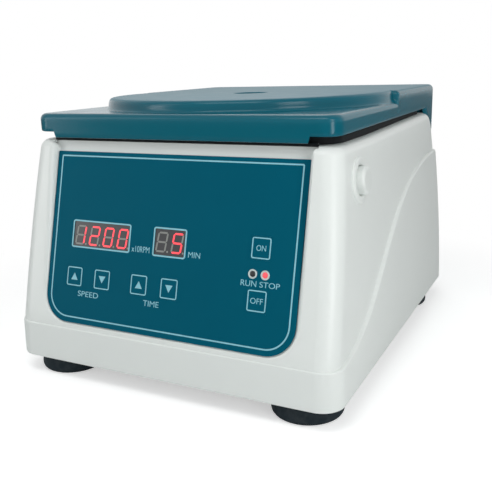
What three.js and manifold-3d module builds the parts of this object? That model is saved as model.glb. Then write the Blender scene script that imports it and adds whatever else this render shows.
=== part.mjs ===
// Bench hematocrit centrifuge with a hinged lid, a capillary rotor and a side release button.
// Millimetres, +Z up, +Y to the rear. The origin lies on the bench, under the middle of the case.
import * as THREE from "three";
import { mergeVertices } from "three/addons/utils/BufferGeometryUtils.js";
import Module from "manifold-3d";

const wasm = await Module();
wasm.setup();

// Clearances shared by all pieces
const seatGap = 0.3;
const runGap = 0.5;
const overrun = 6;
const mergeDistance = 0.0001;

// Round pieces: how many sides and steps they are drawn with
const largeSides = 40;
const mediumSides = 24;
const smallSides = 12;
const tinySides = 8;
const cornerSteps = 3;
const panelCornerSteps = 8;
const filletSteps = 2;
const curveSteps = 14;

// Rotor and the chamber round it, which set the width and depth of the case
const axisY = -4;
const rotorRadius = 95;
const rotorSideGap = 8;
const bowlInnerRadius = rotorRadius + rotorSideGap;
const bowlFlangeWidth = 6;
const bowlFlangeRadius = bowlInnerRadius + bowlFlangeWidth;
const deckFrontMargin = 19;
const deckSideMargin = 12.8;

// Case, heights measured from its lower edge
const footHeight = 15;
const caseHeight = 165.5;
const caseWall = 3;
const deckThickness = 3.5;
const caseHalfWidthTop = bowlFlangeRadius + deckSideMargin;
const sideFlare = 8.2;
const caseHalfWidthLow = caseHalfWidthTop + sideFlare;
const sideBulge = 2.2;
const caseCorner = 14;
const wallShares = [1 / 3, 1 / 2, 2 / 3];
const caseTopFillet = 4;
const caseFrontTop = axisY - bowlFlangeRadius - deckFrontMargin;
const frontFlare = 32.4;
const caseHalfDepth = frontFlare - caseFrontTop;
const ridgeSetback = 1.8;
const caseFrontRidge = ridgeSetback - caseHalfDepth;
const rearFlare = 24.9;
const caseRearSill = caseHalfDepth - rearFlare;

// Skirt round the foot of the case, swept up along the sides
const skirtProud = 2.6;
const caseRearLow = caseHalfDepth - skirtProud;
const ridgeProud = 1.3;
const ridgeHeight = 30;
const skirtFrontHeight = 27.5;
const skirtRearDrop = 34;
const skirtRearHeight = caseHeight - skirtRearDrop;
const sweepFrontInset = 4.4;
const sweepFrontY = sweepFrontInset - caseHalfDepth;
const sweepFrontPull = 108;
const sweepFrontPullY = sweepFrontY + sweepFrontPull;
const sweepRearInset = 30.4;
const sweepRearY = caseHalfDepth - sweepRearInset;
const sweepRearPull = 188;
const sweepRearPullY = sweepRearY - sweepRearPull;

// Rear chamfer of the deck and the well that the lid's tail turns in
const chamferInset = 47.4;
const chamferTopY = caseHalfDepth - chamferInset;
const sillDrop = 16;
const sillHeight = caseHeight - sillDrop;
const chamferRun = 14.4;
const chamferSillY = chamferTopY + chamferRun;
const wellFloorDrop = 4.3;
const wellFloorHeight = sillHeight - wellFloorDrop;
const wellSideGap = 0.5;

// Sloping control panel in its recess
const panelTopInset = 3.8;
const panelTopY = caseFrontTop + panelTopInset;
const panelTopDrop = 10.2;
const panelTopHeight = caseHeight - panelTopDrop;
const postWidth = 19.8;
const panelHalfWidth = caseHalfWidthTop - postWidth;
const panelBottomInset = 0.488;
const panelBottomRise = 2.185;
const panelBottomY = caseFrontRidge + panelBottomInset;
const panelFall = panelTopHeight - ridgeHeight - panelBottomRise;
const panelTilt = Math.atan2(panelTopY - panelBottomY, panelFall);
const panelLength = Math.hypot(panelTopY - panelBottomY, panelFall);
const panelCorner = 21;
const panelThickness = 1;
const panelEdgeGap = 0.5;

// Lid
const lidSideInset = 1.1;
const lidHalfWidth = caseHalfWidthTop - lidSideInset;
const lidFrontInset = 0.2;
const lidFront = caseFrontTop + lidFrontInset;
const lidTailReach = 34.5;
const lidRear = chamferTopY + lidTailReach;
const lidCorner = 11.9;
const lidWall = 3;
const lidSkirtRise = 4.6;
const lidSkirtHeight = caseHeight + lidSkirtRise;
const lidLipHeight = caseHeight + seatGap;
const lidLipHalfWidth = panelHalfWidth;
const lidDeckRise = 17.5;
const lidDeckHeight = caseHeight + lidDeckRise;
const lidTopFillet = 4.5;
const lidTailDrop = 14.7;
const lidTailHeight = caseHeight - lidTailDrop;
const plateauRise = 8.4;
const plateauInset = 3.7;
const plateauRadius = lidHalfWidth - plateauInset;
const plateauFootSpread = 2.3;
const plateauFootRadius = plateauRadius + plateauFootSpread;
const plateauTopInset = 2.5;
const plateauTopRadius = plateauRadius - plateauTopInset;
const plateauFootFillet = 1.6;
const bandReach = 104;
const bandFront = chamferTopY - bandReach;

// Rotor axis and the sight port above it
const portRadius = 14;
const portDepth = 4;
const portHoleRadius = 11.5;
const portBossRadius = 18;
const portBossDrop = 7;
const windowThickness = 2.2;

// Lid liner and its bosses
const linerGap = 0.5;
const linerThickness = 2;
const linerRearReach = 3;
const linerRear = chamferTopY + linerRearReach;
const linerDishSpread = 5;
const linerDishRadius = rotorRadius + linerDishSpread;
const linerDishFlare = 5;
const linerDishTopRadius = linerDishRadius - linerDishFlare;
const linerDishRise = 6;
const linerHoleRadius = 25;
const linerBossRadius = 4.5;
const linerBossInset = 16.7;
const linerBossX = lidHalfWidth - linerBossInset;
const linerBossFrontInset = 17.8;
const linerBossFront = lidFront + linerBossFrontInset;
const linerBossRearInset = 21;
const linerBossRear = chamferTopY - linerBossRearInset;

// Gasket on the deck
const gasketInset = 3.5;
const gasketWidth = 5.7;
const gasketFrontInset = 9.8;
const gasketFront = lidFront + gasketFrontInset;
const gasketRearInset = 1.7;
const gasketRear = chamferTopY - gasketRearInset;
const gasketCorner = 10;

// Chamber bowl
const bowlWall = 1.6;
const bowlFlangeThickness = 1.5;
const bowlFloorDrop = 47.5;
const bowlFloorHeight = caseHeight - bowlFloorDrop;
const bowlFloorCorner = 8;
const bowlHoleRadius = 16;
const deckHoleGap = 0.6;

// Motor and its bracket
const bracketPlateDrop = 73.5;
const bracketPlateHeight = caseHeight - bracketPlateDrop;
const bracketPlateThickness = 3;
const bracketHalfWidth = 60;
const bracketCorner = 12;
const bracketLegRadius = 5;
const bracketLegInset = 12;
const damperRadius = 6;
const damperHeight = 6;
const damperOffset = 37;
const motorRadius = 38;
const motorWall = 2;
const motorFloorGap = 35.3;
const motorCapThickness = 4;
const motorCapRadius = 41;
const motorEarHalfWidth = 46;
const motorBossRadius = 15;
const motorBossRise = 9;
const bearingOuterRadius = 11;
const bearingHeight = 6;
const armatureRadius = 26;
const armatureShare = 0.55;
const shaftRadius = 5;
const shaftTail = 4;
const shaftHoleGap = 0.5;
const gaiterRadius = 19;
const gaiterTopRadius = 22;
const gaiterWall = 2;

// Rotor
const rotorRimWall = 3;
const rotorPlateDrop = 29.5;
const rotorPlateHeight = caseHeight - rotorPlateDrop;
const rotorPlateThickness = 5;
const rotorRimRise = 8;
const rotorGasketWall = 2.3;
const rotorGasketHeight = 6;
const rotorHubRadius = 15;
const rotorHubDrop = 9;
const rotorHubSocket = 8;
const slotCount = 24;
const slotWidth = 2.2;
const slotDepth = 2.5;
const slotInnerRadius = 20;
const slotEndGap = 1;
const slotOuterRadius = rotorRadius - rotorRimWall - slotEndGap;

// Rotor cover with its captive knob
const coverThickness = 2;
const coverEdgeInset = 1;
const coverRadius = rotorRadius - coverEdgeInset;
const coverDishRadius = 30;
const coverDishRise = 1.5;
const knobRadius = 13;
const knobHeight = 11;
const knobFlutes = 12;
const knobFluteRadius = 1.8;
const knobStemRadius = 4;
const knobStemLength = 17.2;
const stemHoleGap = 0.4;

// Hinge of the lid
const hingeInset = 22.9;
const hingeY = caseHalfDepth - hingeInset;
const hingeDrop = 6.5;
const hingeHeight = caseHeight - hingeDrop;
const hingeSideInset = 43.8;
const hingeX = caseHalfWidthTop - hingeSideInset;
const hingeEyeRadius = 6;
const hingePinRadius = 2.4;
const hingeHoleGap = 0.35;
const hingeArmWidth = 5;
const hingeEarWidth = 3;
const hingeSideGap = 0.4;
const hingeFootHalfWidth = 12;
const hingeFootThickness = 2;
const hingeFootUp = 10;
const hingeFootDown = 5;
const hingeFlangeLength = 22;
const hingeFlangeThickness = 2.5;
const hingePinHeadRadius = 3.8;
const hingePinHeadLength = 1.5;
const hingeNotchHalfWidth = 14;
const hingeNotchRise = 1;

// Release button on the right side
const buttonSetback = 33;
const buttonY = caseFrontTop + buttonSetback;
const buttonDrop = 27;
const buttonHeight = caseHeight - buttonDrop;
const buttonRadius = 9.4;
const buttonProud = 7.4;
const buttonEdge = 2;
const buttonBoreGap = 0.5;
const buttonSkirtDepth = 4.5;
const buttonTravel = 3;
const buttonStemRadius = 3;
const bezelRadius = 15.6;
const bezelProud = 1.4;
const bezelSleeveRadius = 12.6;
const bezelEndWall = 1.6;

// Latch behind the button
const latchPivotInset = 13.8;
const latchPivotX = caseHalfWidthTop - latchPivotInset;
const latchPivotDrop = 18;
const latchPivotHeight = caseHeight - latchPivotDrop;
const latchPinRadius = 1.6;
const latchPinGap = 0.35;
const latchHalfWidth = 4;
const latchArmThickness = 4;
const latchEyeRadius = 3;
const latchArmDrop = 12;
const latchNoseGap = 0.4;
const latchNoseThickness = 3;
const latchNoseDrop = 10.3;
const latchNoseHeight = caseHeight - latchNoseDrop;
const latchNoseBelow = 1.2;
const latchNoseAbove = 3.4;
const cheekThickness = 2;
const cheekReach = 4;
const cheekDrop = 18;
const latchPlateThickness = 2;
const latchPlateHalfWidth = 12;
const strikerInset = 19.3;
const strikerX = caseHalfWidthTop - strikerInset;
const strikerThickness = 2;
const strikerHalfWidth = 7.5;
const strikerFoot = 3.5;
const strikerWindowHalfWidth = 5.5;
const strikerFlangeIn = 5.5;
const strikerFlangeInner = strikerX - strikerFlangeIn;
const strikerFlangeOut = 8;
const strikerFlangeOuter = strikerX + strikerFlangeOut;
const strikerFlangeThickness = 1.8;
const deckSlotIn = 3;
const deckSlotLow = strikerX - deckSlotIn;
const deckSlotOut = 5;
const deckSlotHigh = strikerX + deckSlotOut;
const deckSlotHalfWidth = 9.5;
const switchLength = 20;
const switchWidth = 8;
const switchHeight = 11;
const switchInset = 39.8;
const switchX = caseHalfWidthTop - switchInset;

// Display modules: place of each window's middle on the panel, x and distance down the face
const displayHeight = 19;
const displayDepth = 11;
const displaySink = 0.4;
const displayCentreRise = 66.6;
const displayCentreDrop = panelLength - displayCentreRise;
const speedDisplayWidth = 50.3;
const speedDisplayX = -55.95;
const timeDisplayWidth = 25;
const timeDisplayX = 3.2;

// Keys and lamps on the panel
const keyWidth = 15;
const keyLength = 15.3;
const keyTravel = 0.4;
const keyPocket = 0.9;
const keyStemRadius = 3;
const keyRowRise = 34.7;
const keyRowDrop = panelLength - keyRowRise;
const startKeyRise = 69.2;
const startKeyDrop = panelLength - startKeyRise;
const startKeyInset = 28.8;
const startKeyX = panelHalfWidth - startKeyInset;
const speedUpX = -77;
const speedDownX = -51.8;
const timeUpX = -19.4;
const timeDownX = 5.8;
const lampRadius = 2.6;
const lampProud = 0.5;
const lampRise = 52;
const lampDrop = panelLength - lampRise;
const runLampInset = 33.3;
const runLampX = panelHalfWidth - runLampInset;
const stopLampInset = 24.3;
const stopLampX = panelHalfWidth - stopLampInset;

// Control board behind the panel
const boardSideInset = 10;
const boardHalfWidth = panelHalfWidth - boardSideInset;
const boardTopRise = 83.7;
const boardTopDrop = panelLength - boardTopRise;
const boardBottomRise = 9.7;
const boardBottomDrop = panelLength - boardBottomRise;
const boardThickness = 1.6;
const standoffRadius = 3.5;
const standoffInset = 5;

// Base plate, feet and their screws
const plateHeight = 1;
const plateThickness = 3;
const footRadius = 25.2;
const footTopRadius = 23.6;
const footEdge = 4.5;
const footSideInset = 29;
const footFrontX = caseHalfWidthLow - footSideInset;
const footRearSideInset = 27.2;
const footRearX = caseHalfWidthLow - footRearSideInset;
const footFrontInset = 30.4;
const footFrontY = footFrontInset - caseHalfDepth;
const footRearInset = 57.4;
const footRearY = caseHalfDepth - footRearInset;
const footSocketRadius = 6;
const footSocketDepth = 6;
const screwHeadRadius = 4.6;
const screwHeadHeight = 3;
const screwRadius = 2;
const screwHoleGap = 0.4;
const screwBite = 9;
const bossRadius = 6;
const bossRise = 24;
const ribThickness = 2.4;
const ventPitch = 8;
const ventWidth = 3.2;
const ventLength = 46;
const ventTopDrop = 22.5;
const ventInletGap = 3.5;

// Power board and transformer on the base plate
const transformerLength = 62;
const transformerWidth = 50;
const transformerHeight = 46;
const transformerSideInset = 68;
const transformerX = transformerSideInset - caseHalfWidthLow;
const transformerInset = 66.4;
const transformerY = caseHalfDepth - transformerInset;
const coilHalfLength = 17;
const coilProud = 6;
const powerBoardLength = 78;
const powerBoardWidth = 56;
const powerBoardSideInset = 94;
const powerBoardX = caseHalfWidthLow - powerBoardSideInset;
const powerBoardInset = 68.4;
const powerBoardY = caseHalfDepth - powerBoardInset;
const powerStandoffHeight = 6;
const capacitorRadius = 9;
const capacitorHeight = 28;

// Rear power inlet, fuse drawer and rocker switch
const rearPanelHeight = 58;
const inletSideInset = 100;
const inletX = inletSideInset - caseHalfWidthLow;
const socketWidth = 24;
const drawerWidth = 11;
const rockerWidth = 17;
const rockerLength = 22;
const socketMargin = 5;
const drawerSpacing = 4.5;
const rockerSpacing = 12;
const rockerMargin = 8.5;
const rockerEndMargin = 4;
const inletRim = 3;
const inletEndRim = 2;
const inletBodyHeight = rockerLength + 2 * rockerEndMargin;
const inletHeight = inletBodyHeight + 2 * inletEndRim;
const socketSpan = socketMargin + socketWidth;
const drawerSpan = drawerSpacing + drawerWidth;
const inletWidth = socketSpan + drawerSpan + rockerSpacing + rockerWidth + rockerMargin;
const inletBodyWidth = inletWidth - 2 * inletRim;
const socketX = socketMargin + socketWidth / 2 - inletWidth / 2;
const drawerX = socketSpan + drawerSpan - drawerWidth / 2 - inletWidth / 2;
const rockerOffset = inletWidth / 2 - rockerMargin - rockerWidth / 2;
const inletFlange = 2;
const inletDepth = 26;
const socketHeight = 16.6;
const socketDepth = 17;
const socketCut = 4;
const socketPinLength = 11;
const socketPinWidth = 4;
const socketPinThickness = 2;
const socketPinPitch = 7;
const socketPinOffset = 2;
const drawerHeight = 19;
const drawerFace = 1.8;
const drawerDepth = 20;
const drawerGap = 0.4;
const rockerSwingGap = 2.2;
const rockerPocketDepth = 12;
const rockerGap = 0.5;
const rockerThickness = 5;
const rockerCrown = 2.6;
const rockerPinRadius = 1.8;
const rockerPinBite = 1.2;
const rockerPinDepth = 5;

// Vents fill the rear wall from the inlet up to the sill
const ventTop = sillHeight - ventTopDrop;
const ventSpan = ventTop - rearPanelHeight - inletHeight / 2 - ventInletGap;
const ventCount = Math.floor(ventSpan / ventPitch);
const ventHeight = ventTop - (ventCount * ventPitch) / 2;

// Levels worked out from the sizes above, measured from the bench
const caseBottom = footHeight;
const deckZ = caseBottom + caseHeight;
const deckUnderZ = deckZ - deckThickness;
const lidTopZ = caseBottom + lidDeckHeight + plateauRise;
const lidDeckZ = caseBottom + lidDeckHeight;
const lidSkirtZ = caseBottom + lidSkirtHeight;
const linerZ = lidSkirtZ + seatGap;
const panelTopZ = caseBottom + panelTopHeight;
const recessDepth = panelThickness + seatGap;
const hingeZ = caseBottom + hingeHeight;
const plateTopZ = caseBottom + plateHeight + plateThickness;
const bowlFloorZ = caseBottom + bowlFloorHeight;
const bracketTopZ = caseBottom + bracketPlateHeight + bracketPlateThickness;
const capBottomZ = bracketTopZ + seatGap + damperHeight + seatGap;
const capTopZ = capBottomZ + motorCapThickness;
const motorBottomZ = plateTopZ + motorFloorGap;
const motorHeight = capBottomZ - seatGap - motorBottomZ;
const armatureHeight = motorHeight * armatureShare;
const armatureZ = motorBottomZ + (motorHeight - armatureHeight) / 2;
const rotorPlateZ = caseBottom + rotorPlateHeight;
const rotorTopZ = rotorPlateZ + rotorPlateThickness;
const rotorRimZ = rotorTopZ + rotorRimRise;
const coverZ = rotorRimZ + seatGap;

// Materials
function finish(color, roughness, metalness = 0) {
  return new THREE.MeshStandardMaterial({ color, roughness, metalness });
}
const caseWhite = finish(0xdfe5e3, 0.45);
const lidTeal = finish(0x00546b, 0.25);
const panelTeal = finish(0x00506a, 0.4);
const blackRubber = finish(0x24292c, 0.8);
const blackPlastic = finish(0x1c1f21, 0.5);
const buttonGrey = finish(0xd5d9d6, 0.4);
const sheetSteel = finish(0xb4b8ba, 0.35, 0.9);
const zincSteel = finish(0xa6abb0, 0.4, 0.9);
const aluminium = finish(0xc3c7ca, 0.35, 0.85);
const smokyAcrylic = finish(0x16323a, 0.1);
const boardGreen = finish(0x1d5a3c, 0.6);
const displayGrey = finish(0x3c4447, 0.35);
const lampRed = finish(0xc01818, 0.3);
const lampDark = finish(0x4a1414, 0.3);
const coilCopper = finish(0xb0733f, 0.5, 0.4);

// Closed solids: geometry in, manifold out, and back
function toSolid(geometry) {
  const bare = new THREE.BufferGeometry();
  bare.setAttribute("position", geometry.getAttribute("position"));
  bare.setIndex(geometry.index);
  const merged = mergeVertices(bare, mergeDistance);
  const place = merged.getAttribute("position");
  const corner = (index) => new THREE.Vector3().fromBufferAttribute(place, index);
  const kept = [];
  let volume = 0;
  for (let i = 0; i < merged.index.count; i += 3) {
    const [a, b, c] = [0, 1, 2].map((k) => merged.index.getX(i + k));
    if (a === b || b === c || c === a) {
      continue;
    }
    kept.push(a, b, c);
    volume += corner(a).dot(corner(b).cross(corner(c)));
  }
  if (volume < 0) {
    kept.reverse();
  }
  return new wasm.Manifold(
    new wasm.Mesh({
      numProp: 3,
      vertProperties: new Float32Array(place.array),
      triVerts: new Uint32Array(kept),
    }),
  );
}

function toGeometry(solid) {
  const mesh = solid.getMesh();
  const geometry = new THREE.BufferGeometry();
  geometry.setAttribute("position", new THREE.BufferAttribute(mesh.vertProperties, mesh.numProp));
  geometry.setIndex(new THREE.BufferAttribute(mesh.triVerts, 1));
  geometry.computeVertexNormals();
  return geometry;
}

function join(...solids) {
  return solids.reduce((whole, solid) => whole.add(solid));
}

function cut(solid, ...tools) {
  return tools.reduce((rest, tool) => rest.subtract(tool), solid);
}

// Basic forms, each a closed solid
function block(x0, x1, y0, y1, z0, z1) {
  const geometry = new THREE.BoxGeometry(x1 - x0, y1 - y0, z1 - z0);
  geometry.translate((x0 + x1) / 2, (y0 + y1) / 2, (z0 + z1) / 2);
  return toSolid(geometry);
}

function rod(radius, z0, z1, x = 0, y = 0, sides = smallSides, topRadius = radius) {
  const geometry = new THREE.CylinderGeometry(topRadius, radius, z1 - z0, sides);
  geometry.rotateX(Math.PI / 2);
  geometry.translate(x, y, (z0 + z1) / 2);
  return toSolid(geometry);
}

function turned(profile, x = 0, y = 0, sides = largeSides) {
  const geometry = new THREE.LatheGeometry(profile.map(([r, z]) => new THREE.Vector2(r, z)), sides);
  geometry.rotateX(Math.PI / 2);
  geometry.translate(x, y, 0);
  return toSolid(geometry);
}

// An outline in (y, z), drawn out along x
function slab(outline, x0, x1) {
  const shape = new THREE.Shape(outline.map(([y, z]) => new THREE.Vector2(y, z)));
  const geometry = new THREE.ExtrudeGeometry(shape, { depth: x1 - x0, bevelEnabled: false });
  const axes = new THREE.Matrix4().makeBasis(
    new THREE.Vector3(0, 1, 0),
    new THREE.Vector3(0, 0, 1),
    new THREE.Vector3(1, 0, 0),
  );
  geometry.applyMatrix4(axes);
  geometry.translate(x0, 0, 0);
  return toSolid(geometry);
}

// A rod along x or y
function rodX(radius, x0, x1, y, z, sides = smallSides) {
  const geometry = new THREE.CylinderGeometry(radius, radius, x1 - x0, sides);
  geometry.rotateZ(Math.PI / 2);
  geometry.translate((x0 + x1) / 2, y, z);
  return toSolid(geometry);
}

function rodY(radius, y0, y1, x, z, sides = smallSides) {
  const geometry = new THREE.CylinderGeometry(radius, radius, y1 - y0, sides);
  geometry.translate(x, (y0 + y1) / 2, z);
  return toSolid(geometry);
}

// A ring of points round a rectangle with round corners, and a solid through several rings
function roundedRing(halfWidth, front, rear, radius, z) {
  const centres = [
    [halfWidth - radius, rear - radius],
    [radius - halfWidth, rear - radius],
    [radius - halfWidth, front + radius],
    [halfWidth - radius, front + radius],
  ];
  return centres.flatMap(([x, y], quarter) =>
    Array.from({ length: cornerSteps + 1 }, (_, step) => {
      const angle = (quarter + step / cornerSteps) * (Math.PI / 2);
      return new THREE.Vector3(x + radius * Math.cos(angle), y + radius * Math.sin(angle), z);
    }),
  );
}

function loft(rings) {
  const count = rings[0].length;
  const points = rings.flat();
  const faces = [];
  for (let level = 0; level < rings.length - 1; level += 1) {
    for (let i = 0; i < count; i += 1) {
      const a = level * count + i;
      const b = level * count + ((i + 1) % count);
      faces.push(a, b, b + count, a, b + count, a + count);
    }
  }
  const last = (rings.length - 1) * count;
  for (let i = 1; i < count - 1; i += 1) {
    faces.push(0, i + 1, i);
    faces.push(last, last + i, last + i + 1);
  }
  const geometry = new THREE.BufferGeometry().setFromPoints(points);
  geometry.setIndex(faces);
  return toSolid(geometry);
}

function roundedPlate(halfWidth, front, rear, radius, z0, z1) {
  return loft([
    roundedRing(halfWidth, front, rear, radius, z0),
    roundedRing(halfWidth, front, rear, radius, z1),
  ]);
}

// Frames that pieces are placed in: the panel's face, the right side and the rear wall
function frameOf(x, y, z, aboutX, aboutY) {
  const frame = new THREE.Group();
  frame.position.set(x, y, z);
  frame.rotation.set(aboutX, aboutY, 0);
  frame.updateMatrix();
  return frame;
}

function inFrame(solid, frame) {
  const geometry = toGeometry(solid);
  geometry.applyMatrix4(frame.matrix);
  return toSolid(geometry);
}

// Case outline at a height above its lower edge
function mix(low, high, share) {
  return low + (high - low) * share;
}

function caseHalfWidth(height) {
  const share = height / caseHeight;
  return mix(caseHalfWidthLow, caseHalfWidthTop, share) + 4 * sideBulge * share * (1 - share);
}

function caseFront(height) {
  const share = Math.max(0, (height - ridgeHeight) / (caseHeight - ridgeHeight));
  return mix(caseFrontRidge, caseFrontTop, share);
}

function caseRear(height) {
  return mix(caseRearLow, caseRearSill, height / sillHeight);
}

function caseRing(height, grow) {
  const halfWidth = caseHalfWidth(height) + grow;
  return roundedRing(
    halfWidth,
    caseFront(height) - grow,
    caseRear(height) + grow,
    caseCorner + grow,
    caseBottom + height,
  );
}

function skirtRing(height) {
  const share = Math.min(1, height / ridgeHeight);
  const front = mix(-caseHalfDepth, caseFront(height) - ridgeProud, share);
  return roundedRing(
    caseHalfWidth(height) + skirtProud,
    front,
    caseRear(height) + skirtProud,
    caseCorner + skirtProud,
    caseBottom + height,
  );
}

const wallLevels = wallShares.map((share) => caseHeight * share);

// Lines of the rear chamfer, in (y, z)
const chamferTop = new THREE.Vector2(chamferTopY, deckZ);
const chamferAlong = new THREE.Vector2(chamferSillY - chamferTopY, sillHeight - caseHeight).normalize();
const chamferOut = new THREE.Vector2(-chamferAlong.y, chamferAlong.x);
const hingeAxis = new THREE.Vector2(hingeY, hingeZ);
const hingeToChamfer = hingeAxis.clone().sub(chamferTop).dot(chamferOut);
const wellFloorZ = caseBottom + wellFloorHeight;
const sillZ = caseBottom + sillHeight;

function chamferPoint(z, outward) {
  const start = chamferTop.clone().addScaledVector(chamferOut, outward);
  const run = (z - start.y) / chamferAlong.y;
  return [start.x + chamferAlong.x * run, z];
}

const panelFrame = frameOf(0, panelTopY, panelTopZ, -panelTilt, 0);
const rearLean = Math.atan((caseRearLow - caseRearSill) / sillHeight);
const rearWallY = caseRear(rearPanelHeight) + skirtProud;
const rearFrame = frameOf(0, rearWallY, caseBottom + rearPanelHeight, rearLean, 0);
const sideFall = caseHalfWidth(buttonHeight - bezelRadius) - caseHalfWidth(buttonHeight + bezelRadius);
const sideLean = Math.atan(sideFall / (2 * bezelRadius));
const sideFrame = frameOf(caseHalfWidth(buttonHeight), buttonY, caseBottom + buttonHeight, 0, -sideLean);

// An outline in (x, z), drawn out along y
function drawnY(outline, y0, y1) {
  const shape = new THREE.Shape(outline.map(([x, z]) => new THREE.Vector2(x, z)));
  const geometry = new THREE.ExtrudeGeometry(shape, { depth: y1 - y0, bevelEnabled: false });
  geometry.rotateX(Math.PI / 2);
  geometry.translate(0, y1, 0);
  return toSolid(geometry);
}

// Outline of the control panel's film, grown by a gap: square at the top, round at the bottom
function panelOutline(grow, top) {
  const halfWidth = panelHalfWidth + grow;
  const bottom = -panelLength - grow;
  const radius = panelCorner + grow;
  const arc = (x, start) =>
    Array.from({ length: panelCornerSteps + 1 }, (_, step) => {
      const angle = start + (step / panelCornerSteps) * (Math.PI / 2);
      return [x + radius * Math.cos(angle), bottom + radius + radius * Math.sin(angle)];
    });
  return [
    [halfWidth, top],
    [-halfWidth, top],
    ...arc(radius - halfWidth, Math.PI),
    ...arc(halfWidth - radius, Math.PI * 1.5),
  ];
}

// Places on the panel, in its own frame: x across, z up the face, y into the case
const keyPlaces = {
  key_speed_up: [speedUpX, -keyRowDrop],
  key_speed_down: [speedDownX, -keyRowDrop],
  key_time_up: [timeUpX, -keyRowDrop],
  key_time_down: [timeDownX, -keyRowDrop],
  key_start: [startKeyX, -startKeyDrop],
  key_stop: [startKeyX, -keyRowDrop],
};
const lampPlaces = {
  run_lamp: [runLampX, -lampDrop],
  stop_lamp: [stopLampX, -lampDrop],
};
const displayPlaces = {
  speed_display: [speedDisplayX, speedDisplayWidth],
  time_display: [timeDisplayX, timeDisplayWidth],
};

function displayBlock(name, grow, y0, y1) {
  const [x, width] = displayPlaces[name];
  return block(
    x - width / 2 - grow,
    x + width / 2 + grow,
    y0,
    y1,
    -displayCentreDrop - displayHeight / 2 - grow,
    -displayCentreDrop + displayHeight / 2 + grow,
  );
}

function keyBlock(name, grow, y0, y1) {
  const [x, z] = keyPlaces[name];
  const halfWidth = keyWidth / 2 + grow;
  const halfLength = keyLength / 2 + grow;
  return block(x - halfWidth, x + halfWidth, y0, y1, z - halfLength, z + halfLength);
}

const boardFrontY = displaySink + displayDepth + seatGap;
const innerFaceY = recessDepth + caseWall;

function panelStandoffs() {
  const places = [
    [-boardHalfWidth + standoffInset, -boardTopDrop - standoffInset],
    [boardHalfWidth - standoffInset, -boardTopDrop - standoffInset],
    [-boardHalfWidth + standoffInset, -boardBottomDrop + standoffInset],
    [boardHalfWidth - standoffInset, -boardBottomDrop + standoffInset],
  ];
  return places.map(([x, z]) =>
    rodY(standoffRadius, innerFaceY - caseWall / 2, boardFrontY - seatGap, x, z, tinySides),
  );
}

// What is cut through the case's front for the film, displays, keys and lamps
function panelCutters() {
  const recess = drawnY(panelOutline(panelEdgeGap, caseHeight), -caseHeight, recessDepth);
  const through = recessDepth + caseWall + overrun;
  const displays = Object.keys(displayPlaces).map((name) => displayBlock(name, seatGap, 0, through));
  const pockets = Object.keys(keyPlaces).map((name) =>
    keyBlock(name, seatGap, 0, recessDepth + keyPocket),
  );
  const stems = Object.values(keyPlaces).map(([x, z]) =>
    rodY(keyStemRadius + seatGap * 2, 0, through, x, z, tinySides),
  );
  const lamps = Object.values(lampPlaces).map(([x, z]) => rodY(lampRadius + seatGap, 0, through, x, z));
  return [recess, ...displays, ...pockets, ...stems, ...lamps].map((tool) => inFrame(tool, panelFrame));
}

// Screw bosses over the feet, each tied to the side wall by a rib
const footPlaces = [
  ["front_left", -footFrontX, footFrontY],
  ["front_right", footFrontX, footFrontY],
  ["rear_left", -footRearX, footRearY],
  ["rear_right", footRearX, footRearY],
];

function caseBoss(x, y) {
  const bottom = plateTopZ + seatGap;
  const top = bottom + bossRise;
  const wallX = Math.sign(x) * (caseHalfWidthLow - caseWall / 2);
  const rib = block(
    Math.min(x, wallX),
    Math.max(x, wallX),
    y - ribThickness / 2,
    y + ribThickness / 2,
    bottom,
    top,
  );
  const hole = rod(screwRadius + screwHoleGap, bottom - overrun, bottom + screwBite + seatGap, x, y);
  return cut(join(rod(bossRadius, bottom, top, x, y), rib), hole);
}

// The swept edge of the skirt: everything above it is cut away from the skirt's solid
function aboveSweep() {
  const curve = new THREE.CubicBezierCurve(
    new THREE.Vector2(sweepFrontY, caseBottom + skirtFrontHeight),
    new THREE.Vector2(sweepFrontPullY, caseBottom + skirtFrontHeight),
    new THREE.Vector2(sweepRearPullY, caseBottom + skirtRearHeight),
    new THREE.Vector2(sweepRearY, caseBottom + skirtRearHeight),
  );
  const edge = curve.getPoints(curveSteps).map((point) => [point.x, point.y]);
  const front = -caseHalfDepth - overrun;
  const rear = caseHalfDepth + overrun;
  const outline = [
    [front, caseBottom + skirtFrontHeight],
    ...edge,
    [rear, caseBottom + skirtRearHeight],
    [rear, deckZ + overrun],
    [front, deckZ + overrun],
  ];
  return slab(outline, -caseHalfDepth, caseHalfDepth);
}

// Rear top of the case, behind the chamfer line and above a floor
function behindChamfer(floorZ, outward, halfWidth) {
  const rear = caseHalfDepth + overrun;
  const top = deckZ + overrun;
  const outline = [chamferPoint(floorZ, outward), [rear, floorZ], [rear, top], chamferPoint(top, outward)];
  return slab(outline, -halfWidth, halfWidth);
}

function caseInside() {
  const low = plateHeight - overrun;
  const levels = [low, ridgeHeight, ...wallLevels, caseHeight - deckThickness];
  const hollow = loft(levels.map((height) => caseRing(height, -caseWall)));
  const along = new THREE.Vector2(Math.sin(panelTilt), Math.cos(panelTilt));
  const inward = new THREE.Vector2(Math.cos(panelTilt), -Math.sin(panelTilt));
  const start = new THREE.Vector2(panelTopY, panelTopZ).addScaledVector(inward, innerFaceY);
  const frontAt = (z) => [start.x + (along.x * (z - start.y)) / along.y, z];
  const bottomZ = caseBottom + low;
  const floorZ = wellFloorZ - deckThickness;
  const rear = caseHalfDepth + overrun;
  const inner = slab(
    [
      frontAt(bottomZ),
      [rear, bottomZ],
      [rear, floorZ],
      chamferPoint(floorZ, -deckThickness),
      chamferPoint(deckUnderZ, -deckThickness),
      frontAt(deckUnderZ),
    ],
    -caseHalfDepth,
    caseHalfDepth,
  );
  return hollow.intersect(inner);
}

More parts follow.
